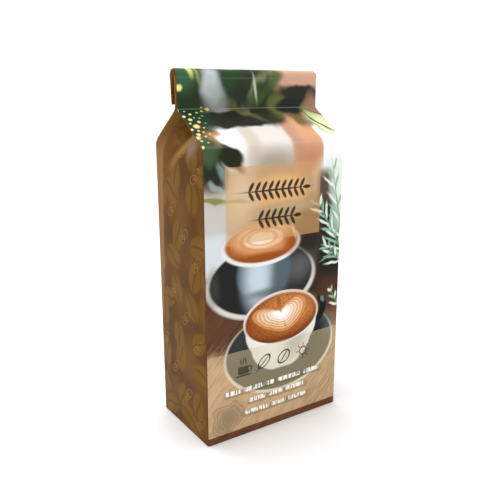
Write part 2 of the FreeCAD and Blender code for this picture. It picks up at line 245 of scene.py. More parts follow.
# Back of the laminate: vacuum-metallised foil under a clear sealing layer, a dull silver with
# faint drawn streaks.
inside, shader = new_material("metallised_film_inside")
drawn = add(inside, "Mapping", Vector=add(inside, "TexCoord").outputs["Object"], Scale=(1, 1, 0.1))
grain = add(inside, "TexNoise", Vector=drawn.outputs[0], Scale=900, Detail=3)
tone = add(inside, "MapRange", Value=grain.outputs[0], _3=0.30, _4=0.42)
plug(shader, Base_Color=linear("#B9B3A8"), Metallic=0.8, Roughness=tone.outputs[0])

# Gravure print on matt film. Everything is drawn on the flat film in millimetres, u across from
# the middle and v up from the base, each stroke laid over the ones before it, soft where the
# scene is out of focus. Ovals, blocks with round corners, square-cornered panels and rings are all
# that it needs.
printed, shader = new_material("gravure_printed_film")
on_film = on_web(printed)
flat = add(printed, "VectorMath", {"operation": "ADD"}, _0=on_film).outputs[0]


def wandering(scale, detail, reach_mm):
    """The flat ground pushed about by noise, so that the edges drawn on it wander."""
    push = add(printed, "TexNoise", {"noise_dimensions": "2D"}, Vector=on_film, Scale=scale, Detail=detail)
    push = add(printed, "VectorMath", {"operation": "SUBTRACT"}, _0=push.outputs["Color"],
               _1=(0.5, 0.5, 0.5)).outputs[0]
    return add(printed, "VectorMath", {"operation": "MULTIPLY_ADD"}, _0=push, _1=(reach_mm, reach_mm, 0),
               _2=flat).outputs[0]


with_grain = add(printed, "Mapping", {"vector_type": "TEXTURE"}, Vector=on_film,
                 Rotation=(0, 0, math.radians(47)), Scale=(9, 1, 1)).outputs[0]
upright = add(printed, "Mapping", Vector=on_film, Scale=(1.15, 0.16, 1)).outputs[0]
grounds = {"flat": flat, "wavy": wandering(0.13, 0.6, 5), "swirl": wandering(0.30, 1.5, 1.1)}
grain = {}
for name, place, scale, detail, rough, low, high in (
    ("boards", with_grain, 0.16, 5, 0.7, 0.40, 0.60), ("streaks", with_grain, 0.9, 3, 0.6, 0.47, 0.60),
    ("speckle", on_film, 0.8, 4, 0.5, 0.52, 0.62), ("ticks", upright, 1.0, 1, 0.5, 0.40, 0.50),
):
    grain[name] = add(printed, "TexNoise", {"noise_dimensions": "2D"}, Vector=place, Scale=scale,
                      Detail=detail, Roughness=rough).outputs[0]
    grounds[name] = add(printed, "MapRange", _0=grain[name], _1=low, _2=high).outputs[0]
grounds["below"] = add(printed, "ValToRGB", {"stops": ((0.34, "#3F2C24"), (0.66, "#7C5843"))},
                       _0=grain["boards"]).outputs[0]


def cut_plate(name):
    """An empty printing plate: a group of nodes that takes the print below and each ground, and gives
    the print on top. Several small plates are built much faster than one long chain."""
    plate = bpy.data.node_groups.new(name, "ShaderNodeTree")
    for ground, link in grounds.items():
        plate.interface.new_socket(ground, in_out="INPUT", socket_type=link.bl_idname)
    plate.interface.new_socket("print", in_out="OUTPUT", socket_type="NodeSocketColor")
    return plate, plate.nodes.new("NodeGroupInput").outputs


def press(plate, colour):
    """Lays a finished plate over the print so far."""
    plate.links.new(colour, plate.nodes.new("NodeGroupOutput").inputs["print"])
    node = add(printed, "Group", {"node_tree": plate}, **grounds)
    grounds["below"] = node.outputs["print"]


def ink(material, below, ground, shape, u, v, half_u, half_v, turn, soft, code, cover=1.0, mask=None):
    """Lays one shape of colour over the print so far, and returns both. ground is (u, v, 1) on the film.
    soft is the part of the half-width that fades, or a ring's line width; cover is how opaque it is."""
    c, s = math.cos(math.radians(turn)), math.sin(math.radians(turn))
    across = (c / half_u, s / half_u, -(u * c + v * s) / half_u)
    up = (-s / half_v, c / half_v, (u * s - v * c) / half_v)
    across = add(material, "VectorMath", {"operation": "DOT_PRODUCT"}, _0=ground, _1=across).outputs["Value"]
    up = add(material, "VectorMath", {"operation": "DOT_PRODUCT"}, _0=ground, _1=up).outputs["Value"]
    place = add(material, "CombineXYZ", X=across, Y=up).outputs[0]
    low, high = 1 - soft, 1 + soft
    if shape == "block":
        for _ in range(2):
            place = add(material, "VectorMath", {"operation": "MULTIPLY"}, _0=place, _1=place).outputs[0]
        low, high = max(low, 0.0) ** 4, high ** 4
    reach = add(material, "VectorMath", {"operation": "LENGTH"}, _0=place).outputs["Value"]
    if shape == "panel":
        across = add(material, "Math", {"operation": "ABSOLUTE"}, _0=across).outputs[0]
        up = add(material, "Math", {"operation": "ABSOLUTE"}, _0=up).outputs[0]
        reach = add(material, "Math", {"operation": "MAXIMUM"}, _0=across, _1=up).outputs[0]
    if shape == "ring":
        reach = add(material, "Math", {"operation": "SUBTRACT"}, _0=reach, _1=1.0).outputs[0]
        reach = add(material, "Math", {"operation": "ABSOLUTE"}, _0=reach).outputs[0]
        low, high = soft * 0.6, soft * 1.2
    amount = add(material, "MapRange", {"interpolation_type": "SMOOTHSTEP", "clamp": False}, _0=reach,
                 _1=low, _2=high, _3=cover, _4=0.0).outputs[0]
    if mask is not None:
        amount = add(material, "Math", {"operation": "MULTIPLY"}, _0=amount, _1=mask).outputs[0]
    return add(material, "Mix", {"data_type": "RGBA"}, _0=amount, _6=below, _7=linear(code)).outputs[2]


# Out-of-focus room behind: foliage at the top, pale window light, a warm wall, and the dark table.
plate, at = cut_plate("room_plate")
colour = at["below"]
for s in (
    ("block", 0, 200, 60, 34, 0, 0.10, "#41453A"), ("block", 26, 158, 60, 22, 0, 0.05, "#9B8D7C"),
    ("block", 0, 120, 60, 26, 0, 0.10, "#A08C74"), ("block", 26, 90, 24, 20, 0, 0.25, "#3A3330"),
    ("oval", -40, 112, 14, 20, 0, 0.6, "#C9C6C0"), ("block", -37, 100, 7, 9, 0, 0.35, "#D5DCE0"),
    ("block", 30, 204, 17, 13, 0, 0.22, "#D3A98F"), ("block", -24, 156, 8.5, 15, 0, 0.20, "#FFFFFF"),
    ("block", -3, 156, 15, 15, 0, 0.22, "#E3DDD6"), ("oval", -3, 142, 16, 7, 0, 0.7, "#AB9A8B", 0.9),
    ("oval", -14, 158, 4, 14, 0, 0.7, "#CDBFAF", 0.7), ("block", 19, 158, 9.5, 22, -2, 0.16, "#DCA27F"),
    ("oval", 12.5, 158, 3.5, 20, 0, 0.7, "#BF9880", 0.85), ("oval", 20, 143, 8, 6, 0, 0.8, "#B98367", 0.7),
    ("block", 37, 150, 8.6, 15.5, 0, 0.10, "#FFFFFF"), ("oval", 36, 132, 12, 12, 0, 0.5, "#E6EAE4"),
    ("oval", 32, 122, 5, 12, 12, 0.6, "#6F5547", 0.9), ("oval", 38, 114, 9, 14, 0, 0.6, "#DDE6E0"),
    ("oval", 22, 108, 11, 14, 0, 0.5, "#5A4C40"), ("oval", 0, 128, 18, 10, 0, 0.35, "#E9B57F"),
    ("oval", 2, 130, 12, 5, 0, 0.7, "#F6D3A6", 0.8), ("oval", -22, 128, 9, 14, 0, 0.7, "#E6D6BD"),
    ("oval", 4, 120, 20, 3.2, 2, 0.5, "#9DA092", 0.8),
):
    colour = ink(plate, colour, at["flat"], *s)
press(plate, colour)

# Leaves: dark blurred ones across the top, an olive stem at the left, and a pale one at the right.
plate, at = cut_plate("leaves_plate")
colour = at["below"]
for s in (
    ("oval", -38, 140, 8, 9, 30, 0.4, "#363C36"), ("oval", -30, 148, 12, 4.6, -38, 0.22, "#35392F"),
    ("oval", -37, 156, 5, 4, -20, 0.4, "#A5885E"), ("oval", -34, 163, 6, 3.0, -30, 0.4, "#C08F6B"),
    ("oval", -40, 152, 6, 8, 0, 0.4, "#4E5F46"), ("oval", -36, 133, 4, 1.6, -28, 0.5, "#A9B5B0", 0.7),
    ("oval", -33, 140, 1.6, 4.5, 35, 0.6, "#8FA09A", 0.7), ("oval", -38, 127, 9, 1.4, -8, 0.4, "#8A8F58"),
    ("oval", -26, 125, 8, 1.0, 4, 0.6, "#A9A270", 0.7), ("oval", -22, 172, 16, 7.5, -4, 0.22, "#35362F"),
    ("oval", -4, 174, 17, 8.4, 6, 0.18, "#343531"), ("oval", 8, 176, 9, 9, 0, 0.4, "#3A3D33"),
    ("oval", -6, 177, 11, 1.8, -38, 0.8, "#6B6A45", 0.75), ("oval", 16, 181, 6, 8, -20, 0.5, "#6C7145", 0.9),
    ("oval", 24, 173, 4.5, 9, 18, 0.5, "#6A5F3D", 0.9), ("oval", 28, 181, 13, 6.2, 4, 0.2, "#393A37"),
    ("oval", 30, 189, 13, 3.6, -5, 0.35, "#3C3D38"), ("oval", 2, 190, 13, 2.6, 58, 0.6, "#8B9470", 0.8),
    ("oval", -10, 190, 14, 4.5, -42, 0.4, "#3B4038"), ("oval", 9, 192, 10, 4, 30, 0.5, "#454D3A"),
    ("oval", -24, 192, 6.5, 9, 0, 0.5, "#C4CACD"), ("oval", -21, 186, 5, 6, 20, 0.7, "#A8AFAB", 0.8),
    ("oval", -36, 187, 8, 10, 0, 0.4, "#3A4433"), ("oval", -13, 196, 7, 6, 30, 0.5, "#3A5238"),
    ("oval", 4, 186, 6, 3, 40, 0.6, "#4A5B38"),
    ("oval", 14, 196, 4, 6, -20, 0.6, "#5B7048", 0.9), ("oval", -38, 198, 6, 8, 0, 0.5, "#47684E"),
    ("oval", 38, 170, 8, 12, 0, 0.35, "#9CAA6C"), ("oval", 38, 167, 6, 10, 22, 0.25, "#C9DA9C"),
    ("oval", 39, 163, 3.2, 8, 24, 0.6, "#F7F5CF"), ("oval", 35.5, 168, 0.9, 9, 30, 0.6, "#57663C"),
    ("oval", 40, 174, 1.0, 7, 40, 0.6, "#3F4A31"),
    ("oval", 40, 181, 5, 6, 0, 0.6, "#A57F68"), ("oval", 10, 206, 14, 5, 20, 0.5, "#3F4A39"),
    ("oval", -8, 212, 20, 7, -15, 0.4, "#394036"), ("oval", 26, 216, 18, 6, 5, 0.5, "#6E6450"),
):
    colour = ink(plate, colour, at["wavy"], *s)

colour = ink(plate, colour, at["flat"], "oval", 2.0, 191, 0.75, 6, 9, 0.7, "#C9D6BC", 0.8)

# String of small lights in the greenery at the left, each a soft warm spot.
colour = ink(plate, colour, at["wavy"], "oval", -39, 171, 11, 10, 24, 0.35, "#2E4436", 0.95)
for u, v, size, code in (
    (-41.5, 175, 0.8, "#F2EFA8"), (-37.6, 176.6, 0.7, "#E9E38F"), (-39.3, 172.5, 0.9, "#F3E9A0"),
    (-38.4, 167.2, 1.4, "#FFE394"), (-35.6, 170.5, 0.8, "#F5CF7C"), (-41.4, 158.8, 1.1, "#F8E08C"),
    (-33.4, 177.8, 0.6, "#C9D07A"), (-30.2, 178.9, 0.7, "#B9C26C"), (-26.5, 180.2, 1.0, "#D9C667"),
    (-36.8, 162.8, 0.6, "#E7BB63"), (-41.8, 165, 0.7, "#F8E9A8"), (-40.2, 161.2, 0.9, "#FFE7A2"),
    (-34, 173.4, 0.5, "#A9BE6A"), (-31.6, 175.2, 0.5, "#9DB766"), (-39.6, 179.0, 0.5, "#CBD98A"),
    (-41.8, 152.4, 0.8, "#E8E4A4"), (-35.0, 166.0, 0.5, "#E6C873"), (-38.9, 163.9, 0.6, "#F4D98A"),
    (-34.2, 161.4, 0.6, "#E3B45E"), (-37.2, 159.6, 0.6, "#EFC877"), (-40.8, 156.4, 0.6, "#E8CD82"),
    (-36.6, 173.9, 0.4, "#C8D283"), (-40.6, 169.6, 0.6, "#E9DD94"), (-32.6, 169.4, 0.4, "#B8A95E"),
    (-41.4, 190.6, 1.5, "#F3EE9E"), (-29.6, 181.4, 0.5, "#8FA35C"), (-38.0, 155.0, 0.5, "#D9B86C"),
):
    colour = ink(plate, colour, at["flat"], "oval", u, v, size * 1.15, size, 20, 0.45, code)
colour = ink(plate, colour, at["flat"], "oval", -35.2, 200, 1.5, 4.2, 12, 0.6, "#DDE27F", 0.9)
colour = ink(plate, colour, at["flat"], "oval", -31.6, 198, 0.9, 4.6, 12, 0.7, "#9DA652", 0.8)
press(plate, colour)

# The table: dark at the back, and a lighter tan with open grain towards the foot, round one knot.
plate, at = cut_plate("table_plate")
colour = at["below"]
for s in (
    ("oval", -34, 66, 14, 18, 10, 0.7, "#64493A", 0.8), ("oval", 36, 70, 10, 16, 0, 0.7, "#5E4031", 0.7),
    ("block", -14, 8, 70, 38, 0, 0.16, "#CBA07A", 0.92), ("block", 40, 22, 16, 26, 0, 0.5, "#A27C5B", 0.8),
):
    colour = ink(plate, colour, at["wavy"], *s)
colour = ink(plate, colour, at["flat"], "block", -10, 8, 70, 40, 0, 0.3, "#7A5238", 0.4, at["boards"])
colour = ink(plate, colour, at["flat"], "block", 0, 4, 70, 42, 0, 0.3, "#E2BA92", 0.42, at["streaks"])
colour = ink(plate, colour, at["wavy"], "oval", -31, 12.5, 8.5, 6.8, 30, 0.8, "#8A6246", 0.8)
for size in (8.2, 6.6, 5.1, 3.7, 2.4, 1.2):
    colour = ink(plate, colour, at["wavy"], "ring", -31, 12.5, size * 1.2, size, 30, 0.5 / size,
                 "#6B4631", 0.6)
colour = ink(plate, colour, at["wavy"], "oval", -31, 12.5, 4.2, 3.2, 30, 0.8, "#5A3C2C", 0.6)
press(plate, colour)

# Cup behind: dark saucer with a pale edge, blue-grey cup, and milk foam in coffee.
plate, at = cut_plate("cup_behind_plate")
colour = at["below"]
for s in (
    ("oval", -9, 83.5, 33.5, 19.8, 0, 0.04, "#DAD5CD"), ("oval", -9, 84.6, 31.4, 18.4, 0, 0.03, "#333433"),
    ("oval", 14, 88, 9, 7, 30, 0.8, "#6A6D6C", 0.7), ("oval", -38, 84, 3, 8, 0, 0.8, "#4A4946", 0.7),
    ("oval", -8.6, 88, 16.5, 14.5, 0, 0.08, "#54656B"), ("oval", -12.5, 86, 8.0, 15, 0, 0.7, "#C9D8E2", 0.95),
    ("oval", 2, 86, 5, 11, -10, 0.7, "#5C6B70", 0.85), ("oval", -9, 77, 10, 2.2, 0, 0.8, "#4E5B60", 0.7),
    ("oval", 20, 101, 9, 7, 0, 0.6, "#393532"), ("oval", -10, 102.4, 23.6, 10.8, 0, 0.05, "#EFEDE9"),
    ("oval", -10, 103.2, 21.6, 9.6, 0, 0.06, "#8F4F28"), ("oval", -9.5, 104.2, 20, 8.6, 0, 0.3, "#C47A46"),
    ("oval", -10, 106.2, 16.5, 7.0, 0, 0.35, "#E9B484"), ("oval", -14, 106.0, 9, 4.0, -12, 0.4, "#FBE3C8"),
    ("oval", -3, 107.0, 6, 3.6, 24, 0.5, "#F9DCBB"), ("ring", -9, 105.4, 13.5, 5.6, 0, 0.12, "#CF8F60", 0.7),
    ("ring", -10, 106, 8.5, 3.6, 0, 0.16, "#DDA577", 0.7), ("oval", 8, 102, 4.4, 4.6, 0, 0.7, "#9A5224", 0.8),
    ("oval", -8, 96.6, 14, 1.8, 0, 0.7, "#8E4A22", 0.7),
    ("oval", 9.5, 107.5, 0.8, 4, 20, 0.6, "#F3C795", 0.8),
):
    colour = ink(plate, colour, at["flat"], *s)
press(plate, colour)

# Sprigs of rosemary at the right: pale narrow needles either side of their stems, before dark wood.
plate, at = cut_plate("rosemary_plate")
colour = at["below"]
for s in (
    ("block", 35, 122, 9, 13, 0, 0.35, "#5F4A3E", 0.95), ("block", 37, 100, 8, 18, 0, 0.4, "#2F302D", 0.95),
    ("oval", 40, 130, 6, 12, 0, 0.5, "#EEF2EC", 0.9), ("oval", 41, 112, 5, 9, 0, 0.6, "#C9D9CF", 0.8),
):
    colour = ink(plate, colour, at["flat"], *s)
for foot, tip, count, size in (((44, 96), (35, 138), 9, 12.5), ((45, 90), (26, 120), 8, 12.0),
                               ((45, 84), (31, 96), 4, 10.0), ((44, 58), (36, 71), 3, 6.0)):
    along = math.degrees(math.atan2(tip[1] - foot[1], tip[0] - foot[0]))
    for i in range(count):
        share = (i + 0.6) / count
        u, v = foot[0] + (tip[0] - foot[0]) * share, foot[1] + (tip[1] - foot[1]) * share
        for side in (-1, 1):
            lean = math.radians(along + side * (32 + 9 * math.sin(i * 2.1 + side)))
            reach = size * (1 - 0.45 * share) * (0.85 + 0.15 * math.sin(i * 5.3 + side)) / 1.6
            tone = ("#FAFDF8", "#E3F1E6", "#C6E0CF", "#8FBDA0")[(2 * i + side) % 4]
            colour = ink(plate, colour, at["swirl"], "oval", u + reach * math.cos(lean),
                         v + reach * math.sin(lean), reach, 0.72, math.degrees(lean), 0.45, tone, 0.95)
    colour = ink(plate, colour, at["flat"], "oval", (foot[0] + tip[0]) / 2, (foot[1] + tip[1]) / 2,
                 math.dist(foot, tip) / 2, 0.4, along, 0.6, "#7E9A78", 0.8)
colour = ink(plate, colour, at["flat"], "oval", 33, 90, 5, 0.7, 24, 0.5, "#7FA98A", 0.8)
colour = ink(plate, colour, at["flat"], "oval", 37, 94, 5, 0.8, 40, 0.5, "#5E8A6B", 0.8)
press(plate, colour)

# Cup in front: white cup on a charcoal saucer with a cream edge, and a heart poured in the foam.
plate, at = cut_plate("cup_in_front_plate")
colour = at["below"]
for s in (
    ("oval", 3, 43.5, 36, 23.6, 0, 0.02, "#E4DAC4"), ("oval", 3, 44.0, 34.6, 22.5, 0, 0.02, "#313333"),
    ("oval", 32, 52, 5, 8, 20, 0.7, "#5D6668", 0.8), ("oval", -24, 52, 5, 10, -30, 0.8, "#454746", 0.8),
    ("oval", 28, 61.5, 5.0, 7.6, -14, 0.10, "#1E2425"), ("oval", 27, 61, 1.8, 4.0, -10, 0.5, "#4C3A30", 0.8),
    ("oval", 30.5, 66.5, 1.2, 2, 30, 0.6, "#8B9798", 0.7), ("oval", 25, 47, 7, 11, -24, 0.6, "#1F2222", 0.8),
    ("oval", 3, 56, 23.0, 17.5, 0, 0.025, "#E7E5DD"), ("oval", 2.8, 48.4, 19.4, 16, 0, 0.03, "#E7E5DD"),
    ("oval", 3, 31.5, 12, 1.8, 0, 0.4, "#2B2C2A"), ("oval", 12, 46, 5.5, 9, -26, 0.8, "#B4B0A5", 0.8),
    ("oval", -6, 47, 5, 9, 26, 0.8, "#F6F4EC", 0.8), ("oval", 3, 61.6, 24.4, 14.6, 0, 0.02, "#F3F1EC"),
    ("oval", 3, 61.2, 23.2, 13.4, 0, 0.03, "#6B3A26"),
    ("oval", 3.4, 61.8, 21.6, 12.2, 0, 0.20, "#92512F"), ("oval", 4, 63.4, 19.5, 10.6, 0, 0.35, "#BC7440"),
    ("oval", 9, 66.0, 13, 6.6, -14, 0.6, "#D08C56", 0.9), ("oval", -14, 57, 6, 3, -30, 0.8, "#A05A32", 0.8),
):
    colour = ink(plate, colour, at["flat"], *s)
colour = ink(plate, colour, at["flat"], "oval", 3, 61.5, 22.4, 12.6, 0, 0.15, "#6A3820", 0.45, at["speckle"])
press(plate, colour)

# The heart is poured in layers. It is laid out as seen from straight above, as two long ovals leaned
# together, and squashed as the cup's rim is. Each layer is a brown line round cream.
plate, at = cut_plate("heart_plate")
colour = at["below"]
HEART_U, HEART_V, HEART_TURN, SQUASH = 3.2, 61.5, 12.7, 0.565


def squashed(half_long, half_wide, turn):
    """Half-lengths and turn of a leaning oval after its height is scaled by SQUASH."""
    c, s = math.cos(math.radians(turn)), math.sin(math.radians(turn))
    across = (half_long * c) ** 2 + (half_wide * s) ** 2
    up = ((half_long * s) ** 2 + (half_wide * c) ** 2) * SQUASH ** 2
    both = (half_long ** 2 - half_wide ** 2) * c * s * SQUASH
    middle, off = (across + up) / 2, math.hypot((across - up) / 2, both)
    lean = math.degrees(math.atan2(2 * both, across - up)) / 2
    return math.sqrt(middle + off), math.sqrt(middle - off), lean


cos_heart, sin_heart = math.cos(math.radians(HEART_TURN)), math.sin(math.radians(HEART_TURN))
for size, gap, brown, cream in ((1.0, 0.3, "#A9622F", "#D9985E"), (0.88, 0.35, "#B06A38", "#EDC196"),
                                (0.75, 0.45, "#B9713E", "#F3CFA8"), (0.62, 0.45, "#C07B49", "#F6DABB"),
                                (0.5, 0.4, "#CB8C5C", "#FAE6D0"), (0.38, 0.3, "#DFB08A", "#FDF3EA"),
                                (0.26, 0.2, "#F0D8C2", "#FFFBF6")):
    for extra, tone in ((gap, brown), (0.0, cream)):
        for side in (-1, 1):
            x, y = side * 5.3 * size, 5 - 4 * size
            half_u, half_v, turn = squashed(16.6 * size, 9.2 * size, side * 55 + HEART_TURN)
            colour = ink(plate, colour, at["swirl"], "oval", HEART_U + x * cos_heart - y * sin_heart,
                         HEART_V + (x * sin_heart + y * cos_heart) * SQUASH,
                         half_u + extra, half_v + extra, turn, 0.05, tone, 0.92)
for s in (
    ("oval", 0.6, 70.6, 1.2, 3.2, 8, 0.4, "#A9622F"), ("oval", 1.6, 66.6, 0.5, 2.4, 14, 0.5, "#C07B49", 0.9),
    ("oval", 5.2, 56.6, 0.4, 3.4, 20, 0.5, "#C98B5A", 0.8),
):
    colour = ink(plate, colour, at["swirl"], *s)

# Painted highlights along the creases: a pale line at the foot of the neck, a faint white one over the
# shoulder, and a faint pale one near the top of the neck.
colour = ink(plate, colour, at["flat"], "panel", 0, CREASE_V, 60, 0.16, 0, 0.6, "#A3A6A2", 0.5)
colour = ink(plate, colour, at["flat"], "panel", 0, SHOULDER_Z, 60, 0.6, 0, 0.9, "#FFFFFF", 0.05)
colour = ink(plate, colour, at["flat"], "panel", 0, NECK_TOP_V - 0.8, 60, 0.5, 0, 0.9, "#B7BAB5", 0.06)
press(plate, colour)

# Clear tints lie over the scene: a brown strip along the foot, a beige band that reaches up from
# there over the cup, and a tan panel on the upper half.
plate, at = cut_plate("tints_and_ornament_plate")
colour = at["below"]
colour = ink(plate, colour, at["flat"], "panel", 0, -0.5, 60, 4.5, 0, 0.03, "#57332A", 0.85)
colour = ink(plate, colour, at["flat"], "panel", 0, 26.3, 60, 22.3, 0, 0.004, "#CDBD98", 0.36)
colour = ink(plate, colour, at["flat"], "panel", -2.2, 123.3, 28.8, 18.8, 0, 0.006, "#CDA06A", 0.52)

# Dark ink on the panel: two leafy sprigs. On the band: a cup, a leaf, a bean and a sun.
INK = "#38342E"
SPRIG_U, LEAF_PITCH_MM = -2.0, 3.9
for sprig_v, leaves in ((129.5, 9), (115.5, 6)):
    half = leaves * LEAF_PITCH_MM / 2
    colour = ink(plate, colour, at["flat"], "oval", SPRIG_U, sprig_v, half + 1.5, 0.5, 0, 0.5, INK, 0.95)
    for i in range(leaves):
        u = SPRIG_U + (i - (leaves - 1) / 2) * LEAF_PITCH_MM
        for side in (-1, 1):
            colour = ink(plate, colour, at["flat"], "oval", u + 0.9, sprig_v + side * 2.3, 2.7, 0.95,
                         side * 58, 0.25, INK, 0.95)
    colour = ink(plate, colour, at["flat"], "oval", SPRIG_U + half + 2, sprig_v, 2.4, 1, 0, 0.25, INK, 0.95)
ICON = "#4B473C"
for s in (
    ("block", -21.5, 37.5, 3.2, 2.2, 0, 0.06, ICON), ("ring", -18.0, 37.8, 1.5, 1.4, 0, 0.30, ICON),
    ("block", -21.5, 34.6, 4.4, 0.45, 0, 0.2, ICON), ("oval", -23, 42.3, 0.38, 1.7, 8, 0.5, ICON),
    ("oval", -21.5, 42.6, 0.38, 1.9, -8, 0.5, ICON), ("oval", -20, 42.3, 0.38, 1.7, 8, 0.5, ICON),
    ("ring", -8.5, 39.2, 4.4, 2.4, 42, 0.15, ICON), ("oval", -9.6, 38.0, 6.2, 0.36, 44, 0.5, ICON),
    ("ring", 4.2, 39.0, 4.2, 2.9, 38, 0.14, ICON), ("oval", 4.2, 39.0, 4.0, 0.42, 52, 0.5, ICON),
    ("ring", 17.5, 39, 2.3, 2.3, 0, 0.18, ICON),
):
    colour = ink(plate, colour, at["flat"], *s, 0.92)
SUN_U, SUN_V, RAY_MM = 17.5, 39.0, 3.9
for i in range(8):
    ray = math.radians(45 * i)
    colour = ink(plate, colour, at["flat"], "block", SUN_U + RAY_MM * math.cos(ray),
                 SUN_V + RAY_MM * math.sin(ray), 0.85, 0.26, 45 * i, 0.3, ICON, 0.92)
press(plate, colour)

# White small print, greeked: uneven upright dashes in three rows of words, over their soft shadow.
plate, at = cut_plate("small_print_plate")
colour = at["below"]
for v, words in ((26.2, ((-27.6, 4.4), (-14.6, 6.0), (-4.6, 2.6), (8.2, 7.4), (23.4, 5.6))),
                 (19.4, ((-12.6, 5.2), (-0.6, 4.6), (12.4, 6.2))),
                 (12.8, ((-12.6, 7.6), (1.6, 4.6), (14.2, 6.0)))):
    for u, half in words:
        colour = ink(plate, colour, at["flat"], "block", u + 0.4, v - 0.6, half + 0.4, 1.7, 0, 0.35,
                     "#5A4A38", 0.45)
        colour = ink(plate, colour, at["flat"], "block", u, v, half, 1.25, 0, 0.10,
                     "#FBF8F0", 0.97, at["ticks"])
press(plate, colour)

# Matt lacquer over the ink: a soft broad sheen, darks a little deeper, and the faint unevenness of
# film over beans.
ripple = add(printed, "TexNoise", {"noise_dimensions": "2D"}, Vector=on_film, Scale=0.11,
             Detail=2).outputs[0]
sheen = add(printed, "MapRange", _0=ripple, _3=0.36, _4=0.46)
bump = add(printed, "Bump", Height=ripple, Strength=0.12, Distance=0.0006)
deep = add(printed, "VectorMath", {"operation": "MULTIPLY_ADD"}, _0=grounds["below"], _1=(0.93,) * 3,
           _2=(-0.020,) * 3).outputs[0]
deep = add(printed, "VectorMath", {"operation": "MAXIMUM"}, _0=deep, _1=(0.002,) * 3).outputs[0]
plug(shader, Base_Color=deep, Roughness=sheen.outputs[0], Normal=bump.outputs[0], IOR=1.49,
     Specular_IOR_Level=0.10)

front_line = fold_line([(FRONT_Y, 0), (FRONT_Y, SHOULDER_Z), (NECK_Y, NECK_Z), (NECK_Y, FOLD_Z)],
                       [SHOULDER_ROUND_MM, CREASE_ROUND_MM])


def corner_round(v):
    """The radius of the upright edge at a height along the web."""
    return CORNER_MM + (NECK_CORNER_MM - CORNER_MM) * ease(v, SHOULDER_Z, CREASE_V)


def panel(line, shares, heights, bulge_mm, seed, outwards):
    """A front or back web: shares run from -1 to 1 between the two upright edges. The last part of
    each side turns 45 degrees round the corner, where the side web takes over."""
    y, z, ny, nz = [part[:, None] for part in line(heights)]
    v = heights[:, None]
    radius = corner_round(v)
    x = shares * (HALF - radius * (1 - math.sqrt(0.5)))
    sink = rounded(radius, np.abs(x) - (HALF - radius))
    filled = ease(v, 0, 25) * (1 - ease(v, SHOULDER_Z - 12, SHOULDER_Z + 14))
    loose = ease(HALF - np.abs(x), 0, 9) * ease(v, 2, 14) * (1 - 0.7 * ease(v, CREASE_V - 4, CREASE_V))
    sink = sink - bulge_mm * filled * (1 - (x / HALF) ** 2) - 0.10 * loose * crumple(x, v, seed, 34)
    sink = sink * outwards
    return grid(x, y - ny * sink, z - nz * sink), grid(x, v)


def spread(low, high, step, tight=()):
    """Values from low to high about a step apart, and closer near the tight ones."""
    values = list(np.arange(low, high + step / 2, step))
    for t in tight:
        values += list(np.linspace(t - 6, t + 6, 17))
    values = np.array(sorted(v for v in values if low < v < high) + [low, high])
    values.sort()
    return values[np.concatenate([[True], np.diff(values) > 0.18 * step])]


heights = spread(0.0, NECK_TOP_V, 1.6, (SHOULDER_Z, CREASE_V))
steps = np.linspace(-1, 1, 57)
end = 1 - np.array([0.0, 0.004, 0.009, 0.015, 0.022])
shares = np.unique(np.round(np.concatenate([steps[1:-1], end, -end]), 5))
places, web_mm = panel(front_line, shares, heights, BULGE_MM, 3, 1)
front = film("front_web", places, web_mm, [printed, inside])
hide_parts("front_panel", "front_shoulder", "neck_crease", "neck_front_ply")
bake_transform(front)
front_places = places

# ---------------------------------------------------------------------------------------------
# Back of the bag: the same film from the other side of the tube, printed plain brown with small
# outlined beans. The tube closes down the middle of the back, so there is a left and a right web.
BACK_Y = box_mm("back_panel_left")[1][1]
NECK_BACK_Y = box_mm("neck_back_ply")[1][1]
VALVE_X, _, VALVE_Z = box_mm("valve_disc").mean(axis=0)
VALVE_FLANGE_MM = (box_mm("valve_housing")[1][0] - box_mm("valve_housing")[0][0]) / 2
back_line = fold_line([(BACK_Y, 0), (BACK_Y, SHOULDER_Z), (NECK_BACK_Y, NECK_Z), (NECK_BACK_Y, FOLD_Z)],
                      [SHOULDER_ROUND_MM, CREASE_ROUND_MM])
back_slope = math.hypot(BACK_Y - NECK_BACK_Y, NECK_Z - SHOULDER_Z)
back_crease = SHOULDER_Z + back_slope
back_heights = np.interp(heights, [0, SHOULDER_Z, CREASE_V, NECK_TOP_V],
                         [0, SHOULDER_Z, back_crease, back_crease + FOLD_Z - NECK_Z])

# Matt brown print on the same laminate. It has a cloudy brown ground, large ghosted beans a shade
# lighter, and small pairs of beans in thin golden line, set out in slanting rows.
plain, shader = new_material("brown_bean_printed_film")
on_film = on_web(plain)
cloud = add(plain, "TexNoise", {"noise_dimensions": "2D"}, Vector=on_film, Scale=0.045, Detail=2)
colour = add(plain, "ValToRGB", {"stops": ((0.35, "#553202"), (0.68, "#6A4510"))},
             _0=cloud.outputs[0]).outputs[0]
GHOST_MM = 17.0
cell = add(plain, "TexVoronoi", {"voronoi_dimensions": "2D"}, Vector=on_film, Scale=1 / GHOST_MM,
           Randomness=0.7).outputs
share = add(plain, "SeparateXYZ", _0=cell["Color"]).outputs[0]
turned = add(plain, "Math", {"operation": "MULTIPLY"}, _0=share, _1=math.pi).outputs[0]
lay = add(plain, "VectorMath", {"operation": "SUBTRACT"}, _0=on_film, _1=cell["Position"]).outputs[0]
lay = add(plain, "VectorRotate", {"rotation_type": "Z_AXIS"}, Vector=lay, Angle=turned).outputs[0]
lay = add(plain, "Mapping", {"vector_type": "TEXTURE"}, Vector=lay,
          Scale=(0.52 * GHOST_MM, 0.36 * GHOST_MM, 100)).outputs[0]
reach = add(plain, "VectorMath", {"operation": "LENGTH"}, _0=lay).outputs["Value"]
body = add(plain, "MapRange", {"interpolation_type": "SMOOTHSTEP"}, _0=reach, _1=0.75, _2=1.05,
           _3=0.55, _4=0.0).outputs[0]
